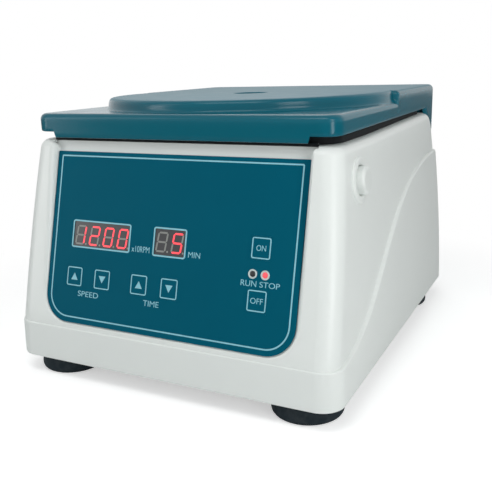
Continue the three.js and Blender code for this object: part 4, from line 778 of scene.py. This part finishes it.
# Lid, with profiles of (distance from the rotor's axis, height)
HINGE_NOTCH_X = 78
HINGE_NOTCH_HALF = 14
PLATEAU = [(spot, LID_TOP - drop) for spot, drop in (
    (113, 0), (114.2, 0.2), (115.2, 0.65), (116, 1.3), (116.6, 2.2), (BAND_STEP, 3.4), (117.25, 5.2),
    (117.5, 6.4), (117.9, 7.3), (118.5, 7.95), (119.3, 8.35), (120, 8.4),
)]
PORT_RIM = [(spot, LID_TOP - drop) for spot, drop in (
    (11.5, 7), (11.5, 4.3), (11.8, 4), (13.8, 4), (14, 3.8), (14, 1.2), (14.15, 0.6), (14.6, 0.15), (15.4, 0),
)]
CEILING = [(109.5, CEILING_HIGH), (113.5, 195)]


def along(profile, place):
    """Height of a profile of (distance, height) points, held level beyond its ends."""
    if place <= profile[0][0]:
        return profile[0][1]
    for (a, low), (b, high) in zip(profile, profile[1:]):
        if place <= b:
            return lerp(low, high, (place - a) / (b - a))
    return profile[-1][1]


def lid_height(profile, x, y):
    """Height of the round plateau or the rear band, whichever is higher."""
    return max(along(profile, math.hypot(x, y - AXIS_Y)), along(profile, BAND_STEP + LID_BAND_FRONT - y))


def depth_inside(x, y):
    """Distance from a point inside the lid's outline to that outline."""
    dx = abs(x) - (LID_HALF - LID_CORNER)
    dy = abs(y - (LID_FRONT + LID_REAR) / 2) - ((LID_REAR - LID_FRONT) / 2 - LID_CORNER)
    if dx > 0 and dy > 0:
        return LID_CORNER - math.hypot(dx, dy)
    return LID_CORNER - max(dx, dy)


def reach(turn, inset, whole):
    """Distance from the rotor's axis, along a direction, to the lid's outline less an inset."""
    low, high = 60.0, whole
    for _ in range(26):
        halfway = (low + high) / 2
        if depth_inside(turn[0] * halfway, AXIS_Y + turn[1] * halfway) > inset:
            low = halfway
        else:
            high = halfway
    return high


def lid_bottom(x, y):
    """Height of the lid's lower edge: a lip at the front, a skirt at the sides, a tail at the rear."""
    skirt = LID_SKIRT - 0.4 + 1.6 * clamp((y + 130) / 260)
    if y < -100:
        return lerp(LID_LIP, skirt, clamp((abs(x) - 101.4) / 1.2))
    chamfer = FOOT + SILL + (CHAMFER_Y + LID_TAIL_GAP - y) / CHAMFER_SLOPE
    return min(skirt, max(LID_TAIL, chamfer))


def lid_top(turn, whole):
    """Points over the lid's top along a direction, from the port's rim to the outline."""
    outer = PLATEAU[-1][0]
    edges = [reach(turn, LID_FILLET * (1 - math.sin(math.radians(9 * i))), whole) for i in range(11)]
    fill = [lerp(min(outer, edges[0]), edges[0], i / 9) for i in range(1, 9)]
    spots = sorted([22, 34, 46, 58, 70, 82, 94, 104] + [spot for spot, _ in PLATEAU] + fill + edges)
    spots[-1] = whole
    for i in range(len(spots) - 2, -1, -1):
        spots[i] = min(spots[i], spots[i + 1] - 0.015)
    top = []
    for spot in spots:
        x, y = turn[0] * spot, AXIS_Y + turn[1] * spot
        near = min(LID_FILLET, max(0, LID_FILLET - depth_inside(x, y)))
        top.append((spot, lid_height(PLATEAU, x, y) - LID_FILLET + math.sqrt(LID_FILLET ** 2 - near ** 2)))
    return top


def lid_column(place):
    """One radial cut of the lid, from the rim of its port over the top, down and back inside."""
    x, y = outline_point(place, LID_HALF, LID_FRONT, LID_REAR, LID_CORNER)
    whole = math.hypot(x, y - AXIS_Y)
    turn = (x / whole, (y - AXIS_Y) / whole)

    def under(spot):
        return spot, lid_height(CEILING, turn[0] * spot, AXIS_Y + turn[1] * spot)

    column = PORT_RIM + lid_top(turn, whole)
    side_top = column[-1][1]
    bottom = lid_bottom(x, y)
    column += [(whole, lerp(side_top, bottom + 1, share)) for share in (0.25, 0.5, 0.75, 1)]
    column += [(reach(turn, inset, whole), bottom + lift)
               for inset, lift in ((0.3, 0.3), (1, 0), (2, 0), (2.7, 0.3))]
    inner = reach(turn, WALL, whole)
    ceiling = under(inner)[1]
    column += [(inner, lerp(bottom + 1, ceiling - 1, share)) for share in (0, 0.5, 1)]
    column += [under(lerp(inner, 104, share)) for share in (0.002, 0.1, 0.2, 0.3)]
    for spot in (113.49, 112.2, 110.8, 109.5):
        column.append(under(min(spot, column[-1][0] - 0.05)))
    column += [(60, CEILING_HIGH), (18, CEILING_HIGH), (18, LID_TOP - 6.6), (17.6, LID_TOP - 7)]
    return [(turn[0] * spot, AXIS_Y + turn[1] * spot, z) for spot, z in column]


def lid_places():
    """Places round the lid's outline, closer together at the lip's ends, the band's step and the tail."""
    low, high = LID_FRONT + LID_CORNER, LID_REAR - LID_CORNER
    depths = {-116, -112, -106, *range(-100, 140, 6), *range(112, 138, 2), *(i / 2 for i in range(14, 45))}
    shares = [(y - low) / (high - low) for y in sorted(depths)]
    half = LID_HALF - LID_CORNER
    lip = (98, 100, 101, 101.3, 101.6, 101.9, 102.2, 102.5, 102.8, 103.4, 104.5, 106, 108)
    across = sorted([(side * x + half) / (2 * half) for x in lip for side in (-1, 1)] +
                    [i / 24 for i in range(2, 23)])
    places = [(0, share) for share in across]
    for place in stations(1, 2, 40, 9):
        if place[0] == 2:
            places += [(2, share) for share in shares]
        elif place[0] == 6:
            places += [(6, 1 - share) for share in reversed(shares)]
        else:
            places.append(place)
    return places


lid_columns = [lid_column(place) for place in lid_places()]
lid_rings = [list(ring) for ring in zip(*lid_columns)]
lid = solid("lid_moulding", skin(list(reversed(lid_rings)), closed=True), TEAL)
carve(lid, [box(x - HINGE_NOTCH_HALF, x + HINGE_NOTCH_HALF, 141.5, 170, 150, 173)
            for x in (-HINGE_NOTCH_X, HINGE_NOTCH_X)])
settle(lid, "lid", ["lid_shell"])


# Seals, and a dark strip that paints the shadow under the lid's lip
GASKET_HALF = 115.6
GASKET_FRONT = -122.4
GASKET_REAR = span("deck_gasket", 1)[1]
GASKET_CORNER = 16


def gasket():
    """Seal on the deck, set back from the rim, with a foot that reaches down to the lower rim."""
    section = [(0.1, 0), (0, 0.4), (0, 182.9), (0.2, 183.6), (0.5, 184.2), (1.1, 184.8), (1.9, LID_SKIRT),
               (4.1, LID_SKIRT), (5.2, 184.7), (5.6, 183.9), (5.6, 181.2), (5.3, 180.6), (1, 180.6), (0.8, 0)]
    rings = []
    for inset, z in section:
        ring = []
        for place in stations(40, 40, 24, 14):
            x, y = outline_point(place, GASKET_HALF - inset, GASKET_FRONT + inset, GASKET_REAR - inset,
                                 GASKET_CORNER - inset)
            ring.append((x, y, z if z > 1 else DECK - rim_drop(y) + 0.05 + z))
        rings.append(ring)
    return skin(rings, closed=True)


settle(solid("deck_seal", gasket(), SEAL), "case", ["deck_gasket"])
# A thin dark strip just under the lid's front lip: painted shadow, standing in for the shade that the lip
# casts on the top of the panel's recess
lip_shadow_section = [(-0.6, 8.6), (-0.2, 8.2), (1.25, 8.2), (1.25, 10.5), (-0.2, 10.5), (-0.6, 10.1)]
painted_lip_shadow = placed(slab(lip_shadow_section, -105.8, 105.8), PANEL)
settle(solid("painted_lip_shadow", painted_lip_shadow, SEAL), "case")

# Sight window, bowl and rotor, as profiles of (radius, height)
window = turned("port_window", [
    (13.3, 202.75), (13.7, 203.1), (13.7, 203.9), (13.4, 204.25), (12.6, 204.45), (10, 204.62), (7, 204.75),
    (4, 204.83), (1.5, 204.87),
], SMOKE)
settle(window, "lid", ["sight_window"])

BOWL_LOW, BOWL_HIGH = span("chamber_bowl", 2)
BOWL_RADIUS = span("chamber_bowl", 0)[1]
BOWL_SHEET = 1.6
BOWL_ROUND = 8
bowl_wall = BOWL_RADIUS - 4.4
bowl_centre = (bowl_wall - BOWL_ROUND, BOWL_LOW + BOWL_ROUND)
bowl = turned("rotor_bowl", [
    (16, BOWL_LOW), *arc(*bowl_centre, BOWL_ROUND, -90, 0, 4),
    (bowl_wall, BOWL_HIGH - 1.9), (bowl_wall + 0.3, BOWL_HIGH - 1.5), (BOWL_RADIUS - 0.2, BOWL_HIGH - 1.5),
    (BOWL_RADIUS, BOWL_HIGH - 1.3), (BOWL_RADIUS, BOWL_HIGH - 0.3), (BOWL_RADIUS - 0.3, BOWL_HIGH),
    (bowl_wall - 0.2, BOWL_HIGH), (bowl_wall - 1.1, BOWL_HIGH - 0.3),
    (bowl_wall - BOWL_SHEET, BOWL_HIGH - 1.1),
    *arc(*bowl_centre, BOWL_ROUND - BOWL_SHEET, 0, -90, 4),
    (16.4, BOWL_LOW + BOWL_SHEET), (16, BOWL_LOW + BOWL_SHEET - 0.4),
], SPUN, closed=True)
settle(bowl, "case", ["chamber_bowl"])

COVER_LOW, COVER_HIGH = span("rotor_cover", 2)
COVER_RADIUS = span("rotor_cover", 0)[1]
cover_top = COVER_LOW + 2
cover = turned("rotor_lid", [
    (4.6, COVER_LOW + 1.5), (29.6, COVER_LOW + 1.5), (31.6, COVER_LOW), (COVER_RADIUS - 0.4, COVER_LOW),
    (COVER_RADIUS, COVER_LOW + 0.4), (COVER_RADIUS, cover_top - 0.4), (COVER_RADIUS - 0.4, cover_top),
    (90.5, cover_top), (90.1, cover_top - 0.25), (89.6, cover_top - 0.25), (89.2, cover_top),
    (58.5, cover_top), (58.1, cover_top - 0.25), (57.4, cover_top - 0.25), (57, cover_top),
    (32.4, cover_top), (31.4, cover_top + 0.25), (30.6, cover_top + 1.15), (29.6, COVER_HIGH),
    (5, COVER_HIGH), (4.4, COVER_HIGH - 0.4), (4.4, cover_top - 0.1),
], SPUN, closed=True)
settle(cover, "cover", ["rotor_cover"])

RIM_LOW, RIM_HIGH = span("rotor_gasket", 2)
RIM_RADIUS = span("rotor_gasket", 0)[1]
rim = turned("rotor_rim_seal", [
    (89.6, RIM_LOW), (RIM_RADIUS - 0.2, RIM_LOW), (RIM_RADIUS, RIM_LOW + 0.2), (RIM_RADIUS, RIM_HIGH - 0.4),
    (RIM_RADIUS - 0.4, RIM_HIGH), (89.9, RIM_HIGH), (89.4, RIM_HIGH - 0.4), (89.4, RIM_LOW + 0.2),
], SEAL, closed=True)
settle(rim, "rotor", ["rotor_gasket"])

KNOB_LOW, KNOB_HIGH = span("cover_knob", 2)
KNOB_RADIUS = span("cover_knob", 0)[1]
FLUTES = 12


def knob():
    """Fluted knob of the rotor cover with its screw under it: radius, height and depth of the flutes."""
    grip = KNOB_HIGH - 11
    spots = [
        (3.7, KNOB_LOW, 0), (4, KNOB_LOW + 0.5, 0), (4, grip - 0.3, 0), (4.2, grip, 0), (12.2, grip, 0),
        (12.7, grip + 0.3, 0.6), (KNOB_RADIUS, grip + 1.2, 1.6), (KNOB_RADIUS, grip + 9, 1.6),
        (12.7, grip + 9.9, 1.5), (12.2, grip + 10.5, 1.1), (11.3, grip + 10.9, 0.5), (10.2, KNOB_HIGH, 0),
        (9.4, grip + 10.8, 0), (8.8, grip + 10.4, 0), (4, grip + 10.1, 0), (1, grip + 10.05, 0),
    ]
    turns = [2 * math.pi * i / 144 for i in range(144)]
    rings = []
    for radius, z, flute in spots:
        ring = []
        for turn in turns:
            edge = radius - max(0, math.cos(FLUTES * turn)) ** 1.6 * flute
            ring.append((edge * math.cos(turn), AXIS_Y + edge * math.sin(turn), z))
        rings.append(ring)
    return skin(rings)


settle(solid("cover_screw_knob", knob(), BLACK), "knob", ["cover_knob"])

# Release button and feet
bezel = turned("button_bezel", [
    (12.6, -9.6), (12.6, -0.4), (15.7, -0.4), (15.7, 0.3), (15.55, 0.75), (15.15, 1.2), (14.5, 1.55),
    (13.6, 1.7), (11.6, 1.7), (10.9, 1.55), (10.3, 1.15), (9.95, 0.5), (9.9, -0.2), (9.9, -8), (3.5, -8),
    (3.5, -9.6),
], PALE, SIDE, closed=True)
settle(bezel, "case", ["release_bezel"])

STEM_RADIUS = 3
button_low = span("release_button", 0)[0]
stem_end = (button_low - case_half(BUTTON_H) + STEM_RADIUS * math.sin(SIDE_LEAN)) / math.cos(SIDE_LEAN)
button = turned("button_cap", [
    (STEM_RADIUS, stem_end), (STEM_RADIUS, -4.5), (9.2, -4.5), (9.4, -4.3), (9.4, 4.2), (9.25, 4.95),
    (8.8, 5.6), (8.1, 6.05), (7.3, 6.28), (6.4, 6.3), (5, 6.1), (3, 5.95), (1, 5.9),
], PALE, SIDE, 72)
settle(button, "button", ["release_button"])

for side in ("front_left", "front_right", "rear_left", "rear_right"):
    node = "foot_" + side
    radius = width(node) / 2
    top = span(node, 2)[1]
    foot = turned("rubber_" + node, [
        (6, 0.2), (6.3, 0), (radius - 3.8, 0), (radius - 2.4, 0.3), (radius - 1.3, 1), (radius - 0.4, 2.3),
        (radius - 0.05, 3.8), (radius, 5), (radius - 0.6, 10), (radius - 1.5, top - 0.4), (radius - 1.8, top),
        (2.5, top), (2.4, top - 0.2), (2.4, 6), (6, 6),
    ], RUBBER, Matrix.Translation((middle(node, 0), middle(node, 1), 0)), 80, closed=True)
    settle(foot, "case", [node])


# Control panel
def panel_outline(half, bottom, top, radius, top_radius):
    """Round lower corners and nearly square upper ones."""
    return rounded(2 * half, top - bottom, radius, 0, (top + bottom) / 2, 14, top_radius)


film_sheet = sheet(panel_outline(PANEL_HALF, -PANEL_LENGTH, 0, 21, 0.6), 0.15)
film = solid("panel_film", placed(film_sheet, PANEL), FILM)
shade(carve(film, panel_holes(0.2, 0.1, 2.65, -2, 3, 3)))
settle(film, "case", ["control_panel"])

STEM_TIP = 10.9
for name, (x, drop) in KEYS.items():
    pad = sheet(rounded(PAD_WIDTH, PAD_HEIGHT, PAD_CORNER, x, -drop), 0.08)
    stem = prism(circle(3, x, -drop, 32), 0.99, STEM_TIP)
    key = solid("pad_" + name, placed(merged([pad, stem]), PANEL), KEYFILM)
    settle(key, name, ["key_" + name])

LENS = [(1.95, -11.4), (1.95, 0), (1.85, 0.2), (1.6, 0.38), (1.2, 0.46), (0.7, 0.49), (0.3, 0.5)]
LENS_RING = [(1.98, -1), (2.62, -1), (2.62, 0.02), (3.2, 0.02), (3.2, 0.2), (3, 0.42), (2.6, 0.5),
             (2.25, 0.4), (2, 0.1)]
LENS_LOOKS = {"run": (LENS_DARK, "lamp_dark"), "stop": (LENS_LIT, "lamp_red")}
for name, x in LAMPS.items():
    material, slot = LENS_LOOKS[name]
    front = PANEL @ Matrix.Translation((x, 0, -LAMP_DROP)) @ Matrix.Rotation(math.pi / 2, 4, "X")
    settle(turned("lens_" + name, LENS, material, front, 32), "case", [name + "_lamp"])
    settle(turned("holder_" + name, LENS_RING, HOLDER, front, 48, closed=True), "case")

# Printing on the panel
PRINT_HIGH = -0.07


def print_on(name, parts, body="case"):
    settle(solid(name, placed(merged(parts), PANEL), PRINT, 30), body)


def line(outline, thickness):
    return band(outline, shrunk(outline, thickness), PRINT_HIGH, 0)


print_on("panel_border", [line(panel_outline(98.2, -123.9, -2.9, 17.2, 1.2), 1)])
print_on("display_frames", [
    line(rounded(wide + 2, DISPLAY_HEIGHT + 1.6, 1.8, x, -DISPLAY_DROP), 1.1) for x, wide in DISPLAYS.values()
])


def letters(text, x, drop, wide, high):
    """Lettering as a thin flat solid, fitted to a width and a height in the panel's plane."""
    curve = bpy.data.curves.new("words", "FONT")
    curve.body = text
    curve.size = 10
    curve.extrude = 0.5
    item = add_object("words", curve)
    bpy.context.view_layer.update()
    mesh = bpy.data.meshes.new_from_object(item.evaluated_get(bpy.context.evaluated_depsgraph_get()))
    bpy.data.objects.remove(item)
    places = [tuple(vertex.co) for vertex in mesh.vertices]
    faces = [tuple(polygon.vertices) for polygon in mesh.polygons]
    bpy.data.meshes.remove(mesh)
    xs, ys, _ = zip(*places)
    left, right, low, top = min(xs), max(xs), min(ys), max(ys)
    points = []
    for px, py, pz in places:
        across = x + ((px - left) / (right - left) - 0.5) * wide
        upward = -drop + ((py - low) / (top - low) - 0.5) * high
        points.append((across, PRINT_HIGH if pz > 0 else 0, upward))
    return points, faces


# Centre, drop, width and height of each word
WORDS = {
    "SPEED": (-63.3, 105.2, 18.6, 4.0),
    "TIME": (-7.8, 105.1, 13, 4.0),
    "RUN": (66.3, 82, 11.4, 3.9),
    "STOP": (81.5, 82, 14.4, 3.7),
    "x10RPM": (-20.4, 67.8, 15.2, 4.3),
    "MIN": (23.7, 67.8, 9.4, 3.9),
}
print_on("panel_words", [letters(text, *place) for text, place in WORDS.items()])

KEY_WORDS = {"start": ("ON", 6.9, 3.8), "stop": ("OFF", 9, 3.8)}
for name, (x, drop) in KEYS.items():
    marks = [line(rounded(13.6, 14, 1.4, x, -drop, 5), 0.8)]
    if name in KEY_WORDS:
        text, wide, high = KEY_WORDS[name]
        marks.append(letters(text, x, drop, wide, high))
    else:
        way = 1 if name.endswith("up") else -1
        arrow = [(x - 3 * way, -drop - 2.6 * way), (x + 3 * way, -drop - 2.6 * way), (x, -drop + 2.6 * way)]
        marks.append(prism(arrow, PRINT_HIGH, 0))
    print_on("print_" + name, marks, name)

# Digits of the displays
SEGMENTS = {"0": "abcdef", "1": "bc", "2": "abged", "5": "afgcd", " ": ""}
DIGIT_WIDTH = 8.5
DIGIT_HEIGHT = 14.4
DIGIT_PITCH = 12.6
DIGIT_SLANT = 0.13
SEGMENT_WIDTH = 1.28
SEGMENT_GAP = 0.18
POINT_RADIUS = 0.75


def bar(start, end):
    """One display segment: a flat bar with pointed ends."""
    dx, dz = end[0] - start[0], end[1] - start[1]
    length = math.hypot(dx, dz)
    ux, uz = dx / length, dz / length
    half = SEGMENT_WIDTH / 2
    outline = []
    for place, side in ((0, 0), (half, -1), (length - half, -1), (length, 0), (length - half, 1), (half, 1)):
        outline.append((start[0] + ux * place - uz * half * side, start[1] + uz * place + ux * half * side))
    return outline


def digit(x, lit):
    """Outlines of a digit's seven segments and its point, as lit and dull ones."""
    side = (DIGIT_WIDTH - SEGMENT_WIDTH) / 2
    end = (DIGIT_HEIGHT - SEGMENT_WIDTH) / 2
    bars = {
        "a": ((-side, end), (side, end)),
        "b": ((side, 0), (side, end)),
        "c": ((side, -end), (side, 0)),
        "d": ((-side, -end), (side, -end)),
        "e": ((-side, -end), (-side, 0)),
        "f": ((-side, 0), (-side, end)),
        "g": ((-side, 0), (side, 0)),
    }
    shapes = {"lit": [], "dull": []}
    for key, ((x0, z0), (x1, z1)) in bars.items():
        gap_x, gap_z = (x1 > x0) * SEGMENT_GAP, (z1 > z0) * SEGMENT_GAP
        outline = bar((x0 + gap_x, z0 + gap_z), (x1 - gap_x, z1 - gap_z))
        outline = [(x + px + pz * DIGIT_SLANT, -DISPLAY_DROP + pz) for px, pz in outline]
        shapes["lit" if key in lit else "dull"].append(outline)
    point_x, point_z = x + DIGIT_WIDTH / 2 + POINT_RADIUS, POINT_RADIUS - DISPLAY_DROP - DIGIT_HEIGHT / 2
    shapes["dull"].append(circle(POINT_RADIUS, point_x, point_z, 20))
    return shapes


# Text of each display, and how far it lies to the right and down from the middle
READOUTS = {"speed": ("1200", 0.3, 0.7), "time": (" 5", -0.2, 0)}
for name, (text, aside, lower) in READOUTS.items():
    for state, material in (("lit", LIT), ("dull", DULL)):
        parts = []
        for i, sign in enumerate(text):
            place = DISPLAYS[name][0] + (i - (len(text) - 1) / 2) * DIGIT_PITCH + aside
            for outline in digit(place, SEGMENTS[sign])[state]:
                parts.append(prism([(px, pz - lower) for px, pz in outline], 0.33, 0.4))
        piece = solid(name + "_segments_" + state, placed(merged(parts), PANEL), material, 30)
        settle(piece, "case")

# Light and ground, in metres
WHITE = (1, 1, 1, 1)
FILL_COLOR = (0.97, 0.99, 1, 1)
FILL_STRENGTH = 0.22
FLOOR_HALF = 6
FLOOR_COLOR = (0.86, 0.87, 0.87, 1)
FLOOR_LIFT = 0.5
FADE_SPAN = (0.2, 0.42)


def world():
    """White as the camera, glossy and see-through surfaces see it, and a weak fill light otherwise."""
    studio = bpy.data.worlds.new("studio")
    bpy.context.scene.world = studio
    studio.use_nodes = True
    studio.node_tree.nodes.clear()
    graph = Graph(studio.node_tree)
    seen = graph.add("ShaderNodeBackground", Color=WHITE)
    fill = graph.add("ShaderNodeBackground", Color=FILL_COLOR, Strength=FILL_STRENGTH)
    path = graph.add("ShaderNodeLightPath")
    either = graph.compute("MAXIMUM", path.outputs["Is Camera Ray"], path.outputs["Is Glossy Ray"])
    any_of_them = graph.compute("MAXIMUM", either, path.outputs["Is Transmission Ray"])
    shown = graph.mix_shaders(any_of_them, fill.outputs[0], seen.outputs[0])
    graph.join(shown, graph.add("ShaderNodeOutputWorld"), "Surface")


def ground():
    """Pale floor that keeps the object's shadow and fades to the white background around it."""
    mesh = bpy.data.meshes.new("floor")
    corners = [(x * FLOOR_HALF, y * FLOOR_HALF, 0) for x, y in ((-1, -1), (1, -1), (1, 1), (-1, 1))]
    mesh.from_pydata(corners, [], [(0, 1, 2, 3)])
    add_object("floor", mesh)
    material = bpy.data.materials.new("floor")
    material.use_nodes = True
    mesh.materials.append(material)
    material.node_tree.nodes.clear()
    graph = Graph(material.node_tree)
    matte = graph.add("ShaderNodeBsdfDiffuse", Color=FLOOR_COLOR)
    lift = graph.add("ShaderNodeEmission", Color=WHITE, Strength=FLOOR_LIFT)
    white = graph.add("ShaderNodeEmission", Color=WHITE, Strength=1)
    lifted = graph.add("ShaderNodeAddShader")
    graph.join(matte.outputs[0], lifted, 0)
    graph.join(lift.outputs[0], lifted, 1)
    far = graph.add("ShaderNodeVectorMath")
    far.operation = "LENGTH"
    graph.join(graph.place(), far, 0)
    fade = graph.add("ShaderNodeMapRange", From_Min=FADE_SPAN[0], From_Max=FADE_SPAN[1])
    fade.interpolation_type = "SMOOTHSTEP"
    graph.join(far.outputs["Value"], fade, "Value")
    shown = graph.mix_shaders(fade.outputs["Result"], lifted.outputs[0], white.outputs[0])
    camera_ray = graph.add("ShaderNodeLightPath").outputs["Is Camera Ray"]
    final = graph.mix_shaders(camera_ray, matte.outputs[0], shown)
    graph.join(final, graph.add("ShaderNodeOutputMaterial"), "Surface")


def lamp(name, place, target, size, watts):
    data = bpy.data.lights.new(name, "AREA")
    data.shape = "RECTANGLE"
    data.size, data.size_y = size
    data.energy = watts
    item = add_object(name, data)
    item.location = place
    item.rotation_euler = (Vector(target) - Vector(place)).to_track_quat("-Z", "Y").to_euler()


# Place, target, size and watts of each lamp
LIGHTS = {
    "left": ((-0.95, -0.85, 0.3), (-0.03, -0.13, 0.15), (0.3, 0.6), 2.4),
    "high left": ((-0.8, -0.8, 0.75), (-0.03, -0.13, 0.12), (0.4, 0.5), 1),
    "high right": ((0.7, -0.45, 0.6), (0.12, -0.12, 0.12), (0.3, 0.3), 1.7),
    "overhead": ((0.05, -0.45, 0.8), (0, -0.12, 0.1), (0.5, 0.25), 1.6),
    "right": ((0.75, -0.5, 0.16), (0.12, -0.13, 0.18), (0.22, 0.3), 1.7),
    "rear": ((-0.5, 0.85, 0.95), (0, 0.1, 0.1), (0.6, 0.4), 1.6),
    "low rear": ((-0.2, 1, 0.08), (0, 0.15, 0.08), (0.5, 0.15), 3),
}
bpy.context.scene.view_settings.view_transform = "Standard"
world()
ground()
for name, setup in LIGHTS.items():
    lamp(name, *setup)

bpy.context.view_layer.update()
